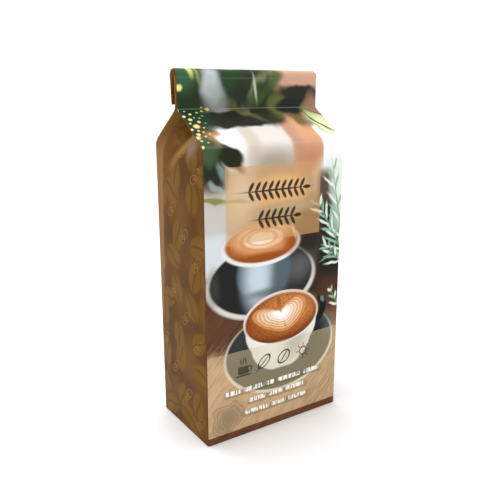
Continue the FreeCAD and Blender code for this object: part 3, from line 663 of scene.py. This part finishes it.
colour = add(plain, "Mix", {"data_type": "RGBA"}, _0=body, _6=colour, _7=linear("#7A5714")).outputs[2]
parts = add(plain, "SeparateXYZ", _0=lay).outputs
bow = add(plain, "Math", {"operation": "MULTIPLY"}, _0=parts[0], _1=2.6).outputs[0]
bow = add(plain, "Math", {"operation": "SINE"}, _0=bow).outputs[0]
bow = add(plain, "Math", {"operation": "MULTIPLY_ADD"}, _0=bow, _1=0.22, _2=parts[1]).outputs[0]
bow = add(plain, "Math", {"operation": "ABSOLUTE"}, _0=bow).outputs[0]
crease = add(plain, "MapRange", {"interpolation_type": "SMOOTHSTEP"}, _0=bow, _1=0.05, _2=0.2, _3=1.0,
             _4=0.0).outputs[0]
crease = add(plain, "Math", {"operation": "MULTIPLY"}, _0=crease, _1=body).outputs[0]
colour = add(plain, "Mix", {"data_type": "RGBA"}, _0=crease, _6=colour, _7=linear("#4C2D03")).outputs[2]

# The slanting rows: each step along a row is 12.4 mm across and 12 mm down, and the rows are 43 mm
# apart. Rounding to the nearest step gives each point its place on the pair of beans there.
STEP_MM, FALL_MM, ROW_MM, FIRST_U, FIRST_V = 12.4, 12.0, 43.0, 5.6, 131.0
BACK_U_MM = 8 * STEP_MM   # how far along the web the middle of the back lies, in whole steps
parts = add(plain, "SeparateXYZ", _0=on_film).outputs
along = add(plain, "Math", {"operation": "MULTIPLY_ADD"}, _0=parts[0], _1=1 / STEP_MM,
            _2=-FIRST_U / STEP_MM).outputs[0]
step = add(plain, "Math", {"operation": "ROUND"}, _0=along).outputs[0]
off_u = add(plain, "Math", {"operation": "SUBTRACT"}, _0=along, _1=step).outputs[0]
off_u = add(plain, "Math", {"operation": "MULTIPLY"}, _0=off_u, _1=STEP_MM).outputs[0]
rise = add(plain, "Math", {"operation": "MULTIPLY_ADD"}, _0=step, _1=FALL_MM / ROW_MM,
           _2=-FIRST_V / ROW_MM).outputs[0]
rise = add(plain, "Math", {"operation": "MULTIPLY_ADD"}, _0=parts[1], _1=1 / ROW_MM, _2=rise).outputs[0]
off_v = add(plain, "Math", {"operation": "ROUND"}, _0=rise).outputs[0]
off_v = add(plain, "Math", {"operation": "SUBTRACT"}, _0=rise, _1=off_v).outputs[0]
off_v = add(plain, "Math", {"operation": "MULTIPLY"}, _0=off_v, _1=ROW_MM).outputs[0]
pair = add(plain, "CombineXYZ", X=off_u, Y=off_v, Z=1.0).outputs[0]
GOLD = "#94692A"
for s in (
    ("ring", 1.2, 1.3, 3.3, 2.0, 42, 0.10, GOLD, 0.65), ("oval", 1.2, 1.3, 2.8, 0.2, 50, 0.6, GOLD, 0.55),
    ("ring", -1.6, -1.5, 2.9, 1.9, 30, 0.11, GOLD, 0.65), ("oval", -1.6, -1.5, 2.4, 0.2, 38, 0.6, GOLD, 0.55),
):
    colour = ink(plain, colour, pair, *s)

# Painted light on the sides, where the film is bent: a paler strip down the back edge, a grey patch and a
# golden streak at the front of the shoulder, and a paler patch higher in the pleat are painted highlights
# and a painted reflection. A darker patch in the pleat near the back and a thin dark line down each corner
# are painted shade. u is measured from the back edge on the sides.
for s in (
    ("oval", -1, 152, 9.6, 98, 0, 0.03, "#8E6333", 0.8), ("oval", 40, 158, 11, 5.5, 68, 0.5, "#87705C", 0.8),
    ("oval", 31, 153, 15, 2.2, 42, 0.9, "#A5782E", 0.7), ("oval", 12, 165, 16, 9, 50, 0.7, "#64431F", 0.7),
    ("oval", 25, 172, 6, 9, 0, 0.8, "#8A6236", 0.5),
    ("block", 0, 95, 0.35, 130, 0, 0.5, "#5D3A12", 0.9), ("block", 50, 95, 0.35, 130, 0, 0.5, "#5D3A12", 0.9),
):
    colour = ink(plain, colour, on_film, *s)
ripple = add(plain, "TexNoise", {"noise_dimensions": "2D"}, Vector=on_film, Scale=0.09, Detail=3)
sheen = add(plain, "MapRange", _0=ripple.outputs[0], _3=0.36, _4=0.5)
bump = add(plain, "Bump", Height=ripple.outputs[0], Strength=0.15, Distance=0.0006)
plug(shader, Base_Color=colour, Roughness=sheen.outputs[0], Normal=bump.outputs[0], IOR=1.49,
     Specular_IOR_Level=0.06)

half_shares = np.unique(np.round(np.concatenate([np.linspace(0, 1, 34)[:-1], end]), 5))
BACK_BULGE_MM, VALVE_STEP_MM = 0.7, 0.45
back_edges = {}
for name, side in (("left", -1), ("right", 1)):
    places, web_mm = panel(back_line, np.sort(side * half_shares), back_heights, BACK_BULGE_MM, 5, -1)
    # The valve's flange is welded inside and shows as a low round step with a rim.
    from_valve = np.hypot(places[..., 0] - VALVE_X, places[..., 2] - VALVE_Z)
    step = VALVE_STEP_MM * (1 - ease(from_valve, VALVE_FLANGE_MM - 0.6, VALVE_FLANGE_MM + 1.2))
    rim = 0.35 * np.exp(-((from_valve - VALVE_FLANGE_MM + 1.2) / 0.8) ** 2)
    places[..., 1] = np.minimum(places[..., 1] + step + rim, BACK_Y + 1.6)
    back_edges[name] = places[:, 0 if side < 0 else -1].copy()
    web_mm[..., 0] += BACK_U_MM
    piece = film("back_web_" + name, places, web_mm, [plain, inside], flip=True)
    one_piece = ("back_shoulder", "neck_back_ply") if side < 0 else ()
    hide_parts("back_panel_" + name, *one_piece)
    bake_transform(piece)

# Five pinholes through the film let gas from the valve out. Each is a slightly raised lip ring coloured
# near-black, painted shade standing in for the dark inside the hole.
PINHOLE_RING_MM, PINHOLE_MM, PINHOLE_LIP_MM, PINHOLES = 2.0, 0.35, 0.09, 5
hole, shader = new_material("pinhole_in_film")
grit = add(hole, "TexNoise", Vector=add(hole, "TexCoord").outputs["Object"], Scale=3000).outputs[0]
tone = add(hole, "ValToRGB", {"stops": ((0, "#0E0A06"), (1, "#241A10"))}, _0=grit).outputs[0]
plug(shader, Base_Color=tone, Roughness=0.9)
bpy.ops.object.select_all(action="DESELECT")
for i in range(PINHOLES):
    turn = 2 * math.pi * i / PINHOLES
    x = VALVE_X + PINHOLE_RING_MM * math.cos(turn)
    z = VALVE_Z + PINHOLE_RING_MM * math.sin(turn)
    y = BACK_Y + BACK_BULGE_MM * (1 - (x / HALF) ** 2) + VALVE_STEP_MM + 0.02
    bpy.ops.mesh.primitive_torus_add(major_radius=PINHOLE_MM * MM, minor_radius=PINHOLE_LIP_MM * MM,
                                     major_segments=18, minor_segments=6, rotation=(math.pi / 2, 0, 0),
                                     location=(x * MM, y * MM, z * MM))
    lip = bpy.context.object
    lip.name = "pinhole_%d" % (i + 1)
    bpy.ops.object.transform_apply(location=True, rotation=True, scale=True)
    bpy.ops.object.shade_smooth()
    lip.data.materials.append(hole)
    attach(lip, "bag")

# ---------------------------------------------------------------------------------------------
# Side webs with their gussets: one wide pleat of the brown film each side. It is pushed flat by the
# beans up to the shoulder, leans in over them, and is folded flat as a V in the neck.
VALLEY_MM = box_mm("left_neck_gusset")[1][0]
GUSSET_MM = VALLEY_MM + HALF
SIDE_MM = 50.0           # flat width of a side web
STRIP_MM = 1.1           # the flat strip beside each edge of the neck, before the pleat turns in
SLIT_MM = 0.12           # half the air between the two halves of the pleat
SOFTNESS = 0.88          # how far the pleat has eased towards one smooth skin over the beans
EASING_ROUNDS = 500
MIDDLE_Y = (NECK_Y + NECK_BACK_Y) / 2
corner_steps = np.array([0.35, 0.7, 1.1, 1.8])
across_side = np.unique(np.concatenate([np.linspace(0, SIDE_MM, 41), corner_steps, SIDE_MM - corner_steps]))


def gusset_row(v, side):
    """The folded pleat at one height, as points across it from the front edge to the back edge."""
    t = float(np.clip((v - SHOULDER_Z) / SLOPE_MM, 0, 1))
    z = min(v, SHOULDER_Z) + (NECK_Z - SHOULDER_Z) * t + max(v - CREASE_V, 0)
    front_y = FRONT_Y + (NECK_Y - FRONT_Y) * t
    back_y = BACK_Y + (NECK_BACK_Y - BACK_Y) * t
    keys = np.array([0, STRIP_MM * t, GUSSET_MM * t])
    keys = np.concatenate([keys, SIDE_MM - keys[::-1]]) + np.arange(6) * 1e-6
    depth_x = np.array([0, 0, GUSSET_MM * t, GUSSET_MM * t, 0, 0])
    ys = np.array([front_y, front_y + STRIP_MM * t, FRONT_Y + (MIDDLE_Y - SLIT_MM - FRONT_Y) * t,
                   BACK_Y + (MIDDLE_Y + SLIT_MM - BACK_Y) * t, back_y - STRIP_MM * t, back_y])
    x = np.interp(across_side, keys, depth_x)
    return grid(side * (HALF - x), np.interp(across_side, keys, ys), z)


for name, side in (("left", -1), ("right", 1)):
    folded = np.array([gusset_row(v, side) for v in heights])
    # The side's two edges are those of the front and back webs, and the film beside them follows.
    for edge, column in ((front_places[:, 0 if side < 0 else -1], 0), (back_edges[name], -1)):
        reach = 1 - ease(across_side if column == 0 else SIDE_MM - across_side, 0, 12)
        shift = edge[:, 1:] - folded[:, column, 1:]
        folded[:, :, 1:] += shift[:, None, :] * reach[None, :, None]
        folded[:, column] = edge
    # Corner rounds: the film turns from the 45 degree line on the front and back webs to the side.
    radius = corner_round(heights)[:, None] * (1 - ease(heights, SHOULDER_Z, SHOULDER_Z + 8))[:, None]
    for gap in (folded[..., 1] - FRONT_Y, BACK_Y - folded[..., 1]):
        folded[:, 1:-1, 0] -= side * rounded(radius, radius - gap)[:, 1:-1]
    # Over the beans the pleat is eased towards a smooth skin, each point moving to its neighbours' mean.
    loose = folded.copy()
    free = np.zeros(loose.shape[:2])
    free[:, 2:-2] = 1
    free *= ease(heights, SHOULDER_Z - 14, SHOULDER_Z - 4)[:, None]
    free *= 1 - ease(heights, CREASE_V - 3, CREASE_V + 1)[:, None]
    pull_s, pull_v = 1 / np.diff(across_side)[None, :, None], 1 / np.diff(heights)[:, None, None]
    for _ in range(EASING_ROUNDS):
        mean = loose.copy()
        flow_s = loose[1:-1, :-2] * pull_s[:, :-1] + loose[1:-1, 2:] * pull_s[:, 1:]
        flow_v = loose[:-2, 1:-1] * pull_v[:-1] + loose[2:, 1:-1] * pull_v[1:]
        flow_s /= pull_s[:, :-1] + pull_s[:, 1:]
        flow_v /= pull_v[:-1] + pull_v[1:]
        mean[1:-1, 1:-1] = (flow_s + flow_v) / 2
        loose += (mean - loose) * free[..., None] * 0.9
    places = folded + (loose - folded) * SOFTNESS
    # The beans push it out, and it is creased a little over the shoulder.
    s, v = np.meshgrid(across_side, heights)
    from_edge = np.minimum(s, SIDE_MM - s)
    filled = ease(v, 2, 30) * (1 - ease(v, SHOULDER_Z - 8, SHOULDER_Z + 6)) * ease(from_edge, 0, 12)
    push = 0.7 * filled + 0.12 * filled * crumple(s, v, 11 + side, 26)
    sloping = ease(v, SHOULDER_Z - 6, SHOULDER_Z + 6) * (1 - ease(v, CREASE_V - 6, CREASE_V - 1))
    push += 0.35 * sloping * ease(from_edge, 0, 8) * crumple(s, v, 21 + side, 17)
    places[..., 0] += side * push
    # The pleat stays between the front and back webs.
    inner = places[:, 1:-1]
    foremost = np.interp(inner[..., 2], [SHOULDER_Z, NECK_Z], [FRONT_Y, NECK_Y]) + 0.3
    rearmost = np.interp(inner[..., 2], [SHOULDER_Z, NECK_Z], [BACK_Y, NECK_BACK_Y]) - 0.3
    inner[..., 1] = np.clip(inner[..., 1], foremost, rearmost)
    piece = film(name + "_side_web", places, grid(SIDE_MM - s, v), [plain, inside], flip=side < 0)
    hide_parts(name + "_side_panel", name + "_gusset_fold", name + "_neck_gusset")
    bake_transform(piece)

# ---------------------------------------------------------------------------------------------
# Fin seal down the back: the two edges of the web welded face to face by a ribbed heated bar and
# laid over to one side. Its free edge stands off a little.
fin_box = box_mm("back_fin_seal")
FIN_MM = fin_box[1][0] - fin_box[0][0]
FIN_RIB_MM, FIN_THICK_MM = 1.5, 0.26
fin_heights = spread(0.6, float(back_heights[-1]) - 0.3, 1.6, (SHOULDER_Z, back_crease))
y, z, ny, nz = [part[:, None] for part in back_line(fin_heights)]
v = fin_heights[:, None]
x = np.linspace(0, FIN_MM, 27)
filled = ease(v, 0, 25) * (1 - ease(v, SHOULDER_Z - 12, SHOULDER_Z + 14))
proud = FIN_THICK_MM + 0.10 + BACK_BULGE_MM * filled + 0.07 * np.cos(2 * math.pi * x / FIN_RIB_MM)
edge_lift = 0.5 * (x / FIN_MM) ** 4 * (0.6 + 0.4 * crumple(x, v, 8, 40))
proud = proud + edge_lift * (1 - ease(v, SHOULDER_Z - 4, CREASE_V))
places = grid(x, y - ny * proud, z - nz * proud)
fin = film("fin_seal", places, grid(x + BACK_U_MM + 4, v), [plain, plain], FIN_THICK_MM, flip=True)
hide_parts("back_fin_seal", "shoulder_fin_seal", "neck_fin_seal")
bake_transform(fin)

# ---------------------------------------------------------------------------------------------
# Folded base: the side tucks go in first, the back flap over them, and the front flap last, where
# a heated bar tacks it down. The tucks keep their plain shape inside, in the same brown film.
TACK_RIB_MM = 2.0
for name in ("bottom_back_flap", "bottom_front_flap"):
    low, high = box_mm(name)
    x, y = np.meshgrid(np.linspace(low[0] + 0.4, high[0] - 0.4, 61), np.linspace(low[1] + 0.1, high[1], 27))
    ribs = 0.5 + 0.5 * np.sin(2 * math.pi * x / TACK_RIB_MM)
    tacked = np.exp(-((y - high[1] + 4) / 1.6) ** 2) if name == "bottom_front_flap" else 0
    z = np.minimum(low[2] + 0.02 + 0.10 * tacked * ribs, high[2] - 0.02)
    piece = film(name + "_film", grid(x, y, z), grid(x + BACK_U_MM, y - 30), [plain, inside], 0.12, flip=True)
    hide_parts(name)
    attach(piece, "bag")

# The CAD pieces that stay visible need their own materials. The tucks read Object coordinates.
tuck_film, shader = new_material("plain_brown_film")
smear = add(tuck_film, "TexNoise", Vector=add(tuck_film, "TexCoord").outputs["Object"], Scale=90,
            Detail=3).outputs[0]
tone = add(tuck_film, "ValToRGB", {"stops": ((0, "#694820"), (1, "#7C5A2E"))}, _0=smear).outputs[0]
bump = add(tuck_film, "Bump", Height=smear, Strength=0.1, Distance=0.0004)
plug(shader, Base_Color=tone, Normal=bump.outputs[0], Roughness=0.42)
for name in ("bottom_left_tuck", "bottom_right_tuck"):
    tuck = bpy.data.objects[name]
    tuck.data.materials.clear()
    tuck.data.materials.append(tuck_film)

# ---------------------------------------------------------------------------------------------
# Rolled top: the neck turned over once to the back and ironed down. The printed web is outside
# and the brown back web inside, with the ends of both side pleats between them.
OUTER_MM = roll_box[1][1] - FOLD_Y
INNER_MM = OUTER_MM - (NECK_BACK_Y - NECK_Y)
seal_low, seal_high = box_mm("top_seal")
SEAL_DEEP_MM = 0.6       # the welded plies in the CAD's seal
STACK_MM = 0.62          # the same plies and the air between them
LEAN = math.atan2(seal_high[1] - seal_low[1] - SEAL_DEEP_MM, seal_high[2] - seal_low[2])
FLAP_MM = (FOLD_Z - seal_low[2]) / math.cos(LEAN)
SEAL_MM = 10.0
LINING_MM = 5.5          # how far the lining runs on over the seal
CRIMP_MM, CRIMP_DEEP_MM = 1.25, 0.09
ARC_MM = math.pi * OUTER_MM
flap_steps = np.concatenate([np.linspace(0, ARC_MM, 37), ARC_MM + spread(0, FLAP_MM, 0.21)[1:]])


def flap_point(w, inward):
    """The (y, z) at a distance w along the roll's outer face from the neck, and a depth in from it."""
    angle = math.pi * (1 - np.clip(w / ARC_MM, 0, 1))
    r = OUTER_MM - inward
    y, z = FOLD_Y + r * np.cos(angle), FOLD_Z + r * np.sin(angle)
    down = np.clip(w - ARC_MM, 0, None)
    hang = w > ARC_MM
    lean_y = FOLD_Y + OUTER_MM - down * math.sin(LEAN) - inward * math.cos(LEAN)
    lean_z = FOLD_Z - down * math.cos(LEAN) + inward * math.sin(LEAN)
    return np.where(hang, lean_y, y), np.where(hang, lean_z, z)


def crimp(w):
    """How far the sealing bar's ribs press the film in, along the roll."""
    from_tail = ARC_MM + FLAP_MM - w
    on_seal = (1 - ease(from_tail, SEAL_MM - 0.8, SEAL_MM)) * ease(from_tail, 0, 0.5)
    return on_seal * CRIMP_DEEP_MM * (0.5 - 0.5 * np.cos(2 * math.pi * from_tail / CRIMP_MM))


def stack_depth(w):
    """How thick the gathered plies are along the roll: full in the neck, thin at the seal."""
    return STACK_MM + (NECK_BACK_Y - NECK_Y - STACK_MM) * (1 - ease(w - ARC_MM, 0, 9.0))


FOLD_SLOPE = 0.1         # how far down the bend of the roll runs, against how far back


def turn_over(low_y, high_y):
    """Start and end of the roll's bend. It runs back and a little down, so that the whole neck comes
    before it and the whole flap after it."""
    size = (high_y - low_y) / (1 + FOLD_SLOPE ** 2)
    return (0, low_y * MM, FOLD_Z * MM), (0, (low_y + size) * MM, (FOLD_Z - size * FOLD_SLOPE) * MM)


x = shares * (HALF - NECK_CORNER_MM * (1 - math.sqrt(0.5)))
sink = rounded(NECK_CORNER_MM, np.abs(x) - (HALF - NECK_CORNER_MM))
w = flap_steps[:, None]
puff = 0.10 * ease(w, 1, 6) * ease(ARC_MM + FLAP_MM - w, SEAL_MM, SEAL_MM + 3)
outer_places = grid(x, *flap_point(w, sink + crimp(w) + puff * crumple(x, w, 31, 22)))
roll = film("top_roll_outer", outer_places, grid(x, NECK_TOP_V + w), [printed, inside])
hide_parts("top_fold_outer", "flap_outer_ply")
OUTER_TURN = turn_over(MIDDLE_Y, FOLD_Y + OUTER_MM - (NECK_BACK_Y - NECK_Y) / 2)
INNER_TURN = turn_over(NECK_BACK_Y, FOLD_Y + INNER_MM)
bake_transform(roll)

inner_steps = flap_steps[flap_steps <= ARC_MM + FLAP_MM - SEAL_MM + LINING_MM]
w = inner_steps[:, None]
inner_places = grid(x, *flap_point(w, stack_depth(w) - sink))
lining = film("top_roll_inner", inner_places, grid(x + BACK_U_MM, 200 + w), [plain, inside], flip=True)
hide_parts("top_fold_inner", "flap_inner_ply")
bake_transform(lining)

# Ends of the pleats in the roll: two flush folds with a thin slit between them, which run on down
# to the seal. Each fold has its own bend, because the outer one goes the longer way round.
FOLD_SHARES = np.array([0.0, 0.12, 0.25, 0.4, 0.75, 0.88, 0.95, 0.97, 0.985])
edge = NECK_CORNER_MM * (1 - math.sqrt(0.5))
for name, side in (("left", -1), ("right", 1)):
    for part, along, beside, bend in (("outer", flap_steps, outer_places, OUTER_TURN),
                                      ("inner", inner_steps, inner_places, INNER_TURN)):
        w = along[:, None]
        depths = FOLD_SHARES * stack_depth(w) / 2
        depths[:, 0] = edge
        if part == "inner":
            depths = stack_depth(w) - depths
        x_in = np.array([edge, 0.06, 0.0, 0.0, 0.0, 0.06, 0.4, 6.0, 25.0]) + 0 * depths
        x_in = x_in + 0.05 * crumple(depths * 3, w, 41, 9) * (x_in < 1)
        places = grid(side * (HALF - x_in), *flap_point(w, depths))
        places[:, 0] = beside[:, 0 if side < 0 else -1]
        piece = film("%s_roll_gusset_%s" % (name, part), places, grid(10 + depths, 196 + w), [plain, inside],
                     0.08, flip=(side < 0) == (part == "outer"))
        if (name, part) == ("left", "outer"):
            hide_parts("top_fold_gussets", "flap_gussets")
        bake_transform(piece)

# Top seal: all plies welded by the machine's ribbed jaws. From behind the roll it is a thin ribbed
# band under the printed ply.
w = flap_steps[flap_steps >= ARC_MM + FLAP_MM - SEAL_MM][:, None]
x = np.linspace(-HALF + 0.25, HALF - 0.25, 60)
thick = np.where(np.abs(x) > abs(VALLEY_MM), 0.58, 0.32)
places = grid(x, *flap_point(w, thick - crimp(w)))
band = film("crimped_seal", places, grid(x + BACK_U_MM, 210 + w), [plain, plain], 0.2, flip=True)
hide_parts("top_seal")
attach(band, "flap")

# ---------------------------------------------------------------------------------------------
# Reseal label: a strip of coated paper with peelable adhesive. Its upper part is stuck on the
# flap, and its finger tab lies on the back shoulder, so the roll can be opened and stuck down again.
label_low, label_high = box_mm("label_tab")
label_half = label_high[0]
peel = next(j for j in frame["joints"] if j["name"] == "label_peel")
PEEL_Y, PEEL_Z = peel["pos_m"][1] / MM, peel["pos_m"][2] / MM
STUCK_MM, PAPER_MM, CORNER_LABEL_MM = 9.0, 0.1, 4.0
top_y, top_z = flap_point(np.array(ARC_MM + FLAP_MM - STUCK_MM), np.array(-PAPER_MM))
fall = (NECK_Z - SHOULDER_Z) / (BACK_Y - NECK_BACK_Y)
bridge_y = 8.5           # where the label comes down on the shoulder
drop = (label_high[1] - bridge_y) * fall
end_y, end_z = label_high[1] - 0.1, label_low[2] + 0.08
label_line = fold_line([(float(top_y), float(top_z)), (PEEL_Y, PEEL_Z), (bridge_y, end_z + drop),
                        (end_y, end_z)], [0.5, 3.0])
label_length = STUCK_MM + math.hypot(bridge_y - PEEL_Y, label_low[2] + drop - PEEL_Z) \
    + math.hypot(end_y - bridge_y, drop)
round_end = np.sin(np.linspace(0, math.pi / 2, 14)[1:])
label_steps = np.concatenate([np.linspace(0, label_length - CORNER_LABEL_MM, 48),
                              label_length - CORNER_LABEL_MM * (1 - round_end)])
y, z, _, _ = label_line(label_steps)
from_end = np.clip(CORNER_LABEL_MM - (label_length - label_steps), 0, CORNER_LABEL_MM)
widths = label_half - CORNER_LABEL_MM + np.sqrt(CORNER_LABEL_MM ** 2 - from_end ** 2)
x = np.linspace(-1, 1, 41)[None, :] * widths[:, None]
coated, shader = new_material("coated_label_paper")
on_label = on_web(coated)
fibre = add(coated, "TexNoise", {"noise_dimensions": "2D"}, Vector=on_label, Scale=2.2, Detail=4).outputs[0]
colour = add(coated, "ValToRGB", {"stops": ((0, "#E6E0D2"), (1, "#F4F0E6"))}, _0=fibre).outputs[0]
for s in (
    ("block", 0, STUCK_MM, 40, 0.12, 0, 0.4, "#B59A6A", 0.9), ("ring", 0, 19.4, 2.2, 2.2, 0, 0.10, "#8A6A3A"),
    ("oval", 0, 19.4, 0.3, 1.3, 0, 0.4, "#8A6A3A"), ("block", 0, 13.6, 10.5, 0.25, 0, 0.3, "#8A6A3A"),
    ("block", 0, 4.5, 12.0, 2.4, 0, 0.03, "#C9A063", 0.8), ("block", 0, 4.5, 8.5, 0.35, 0, 0.3, "#F7F2E7"),
):
    colour = ink(coated, colour, on_label, *s)
bump = add(coated, "Bump", Height=fibre, Strength=0.15, Distance=0.0001)
plug(shader, Base_Color=colour, Normal=bump.outputs[0], Roughness=0.55)
label = film("reseal_label", grid(x, y[:, None], z[:, None]), grid(x, label_steps[:, None]), [coated, coated],
             PAPER_MM, flip=True)
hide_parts("label_upper", "label_tab")
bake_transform(label)

# ---------------------------------------------------------------------------------------------
# One-way valve: an injection-moulded polyethylene seat welded inside the back web, with a silicone
# rubber disc on it, a moulded retainer over the disc and a paper filter under the seat.
for name, nodes, dark, pale, rough, grit_mm in (
    ("moulded_polyethylene", ("valve_housing", "valve_retainer"), "#D9DAD6", "#ECECE8", 0.38, 0.8),
    ("silicone_rubber", ("valve_disc",), "#3B3C3D", "#4A4B4C", 0.6, 0.3),
    ("filter_paper", ("valve_filter",), "#D8CDB6", "#EFE7D6", 0.9, 0.4),
):
    stuff, shader = new_material(name)
    mottle = add(stuff, "TexNoise", Vector=add(stuff, "TexCoord").outputs["Object"],
                 Scale=1 / (grit_mm * MM), Detail=3).outputs[0]
    tone = add(stuff, "ValToRGB", {"stops": ((0, dark), (1, pale))}, _0=mottle).outputs[0]
    bump = add(stuff, "Bump", Height=mottle, Strength=0.2, Distance=0.0001)
    plug(shader, Base_Color=tone, Normal=bump.outputs[0], Roughness=rough)
    for node in nodes:
        bpy.data.objects[node].data.materials.clear()
        bpy.data.objects[node].data.materials.append(stuff)

# ---------------------------------------------------------------------------------------------
# Roasted coffee: whole beans, each half an egg with a crease down its flat face, tipped in at
# random and settled to a low crown.
bean_low, bean_high = box_mm("coffee_beans")
BEAN_MM = (10.0, 7.2, 5.0)
PITCH_MM = 8.4
CROWN_MM = 7.0
EDGE_Z = bean_high[2] - CROWN_MM
rng = np.random.default_rng(7)
around, rings = 8, 5
one, one_faces = [], []
for i in range(rings + 1):
    polar = math.pi * i / rings
    for j in range(around):
        turn = 2 * math.pi * j / around
        flat_side = math.sin(polar) * math.sin(turn)
        low = flat_side * (1 if flat_side > 0 else 0.35)
        groove = 0.12 if j == 6 and 0 < i < rings else 0
        one.append((math.cos(polar) / 2, math.sin(polar) * math.cos(turn) / 2, low / 2 + groove))
for i in range(rings):
    for j in range(around):
        k = (j + 1) % around
        one_faces.append((i * around + j, i * around + k, (i + 1) * around + k, (i + 1) * around + j))
one, verts, faces = np.array(one) * BEAN_MM, [], []
spots = [np.arange(bean_low[i] + 5.5, bean_high[i] - 5.0, PITCH_MM * (1, 0.9, 0.72)[i]) for i in range(3)]
for x in spots[0]:
    for y in spots[1]:
        for z in spots[2]:
            crown = EDGE_Z + CROWN_MM * (1 - (x / HALF) ** 2) * (1 - (y / BACK_Y) ** 2)
            near_valve = math.hypot(x - VALVE_X, z - VALVE_Z) < VALVE_FLANGE_MM + 5 and y > BACK_Y - 13
            shift, turns = rng.uniform(-0.9, 0.9, 3), rng.uniform(0, 2 * math.pi, 3)
            if z > crown - 4 or near_valve:
                continue
            c, s = math.cos(turns[0]), math.sin(turns[0])
            spin = np.array([[c, -s, 0], [s, c, 0], [0, 0, 1]])
            c, s = math.cos(turns[1] / 3), math.sin(turns[1] / 3)
            spin = spin @ np.array([[1, 0, 0], [0, c, -s], [0, s, c]])
            base = len(verts)
            verts += ((one @ spin.T + [x, y, z] + shift) * MM).tolist()
            faces += [tuple(base + c for c in f) for f in one_faces]
mesh = bpy.data.meshes.new("roasted_beans")
mesh.from_pydata(verts, [], faces)
beans = bpy.data.objects.new("roasted_beans", mesh)
bpy.context.collection.objects.link(beans)
shell = bmesh.new()
shell.from_mesh(mesh)
bmesh.ops.remove_doubles(shell, verts=shell.verts, dist=1e-6)
bmesh.ops.recalc_face_normals(shell, faces=shell.faces)
shell.to_mesh(mesh)
shell.free()
roast, shader = new_material("roasted_coffee")
skin = add(roast, "TexNoise", Vector=add(roast, "TexCoord").outputs["Object"], Scale=260,
           Detail=4).outputs[0]
tone = add(roast, "ValToRGB", {"stops": ((0, "#2B170D"), (1, "#5B3620"))}, _0=skin).outputs[0]
bump = add(roast, "Bump", Height=skin, Strength=0.3, Distance=0.0004)
plug(shader, Base_Color=tone, Normal=bump.outputs[0], Roughness=0.4)
mesh.materials.append(roast)
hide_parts("coffee_beans")
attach(beans, "bag")

# ---------------------------------------------------------------------------------------------
# STAGE. A plain white table under the bag, an even white sky all round, and one large soft light
# overhead and a little behind, which lays a soft shadow along the foot of the front.
FLOOR_M = 6.0
bpy.ops.object.select_all(action="DESELECT")
bpy.ops.mesh.primitive_plane_add(size=FLOOR_M, location=(0, 0, -0.0001))
floor = bpy.context.object
floor.name = "table_top"
paper, shader = new_material("white_table")
plug(shader, Base_Color=(0.93, 0.93, 0.93, 1), Roughness=0.9)
floor.data.materials.append(paper)
bpy.ops.object.light_add(type="AREA", location=(-0.05, 0.17, 0.9), rotation=(math.radians(-11), 0, 0))
softbox = bpy.context.object
softbox.data.size = 0.4
softbox.data.energy = 3.0
world = bpy.data.worlds.new("studio")
bpy.context.scene.world = world
world.use_nodes = True
world.node_tree.nodes["Background"].inputs[0].default_value = (1, 1, 1, 1)
world.node_tree.nodes["Background"].inputs[1].default_value = 1.12
bpy.context.scene.view_settings.view_transform = "Standard"
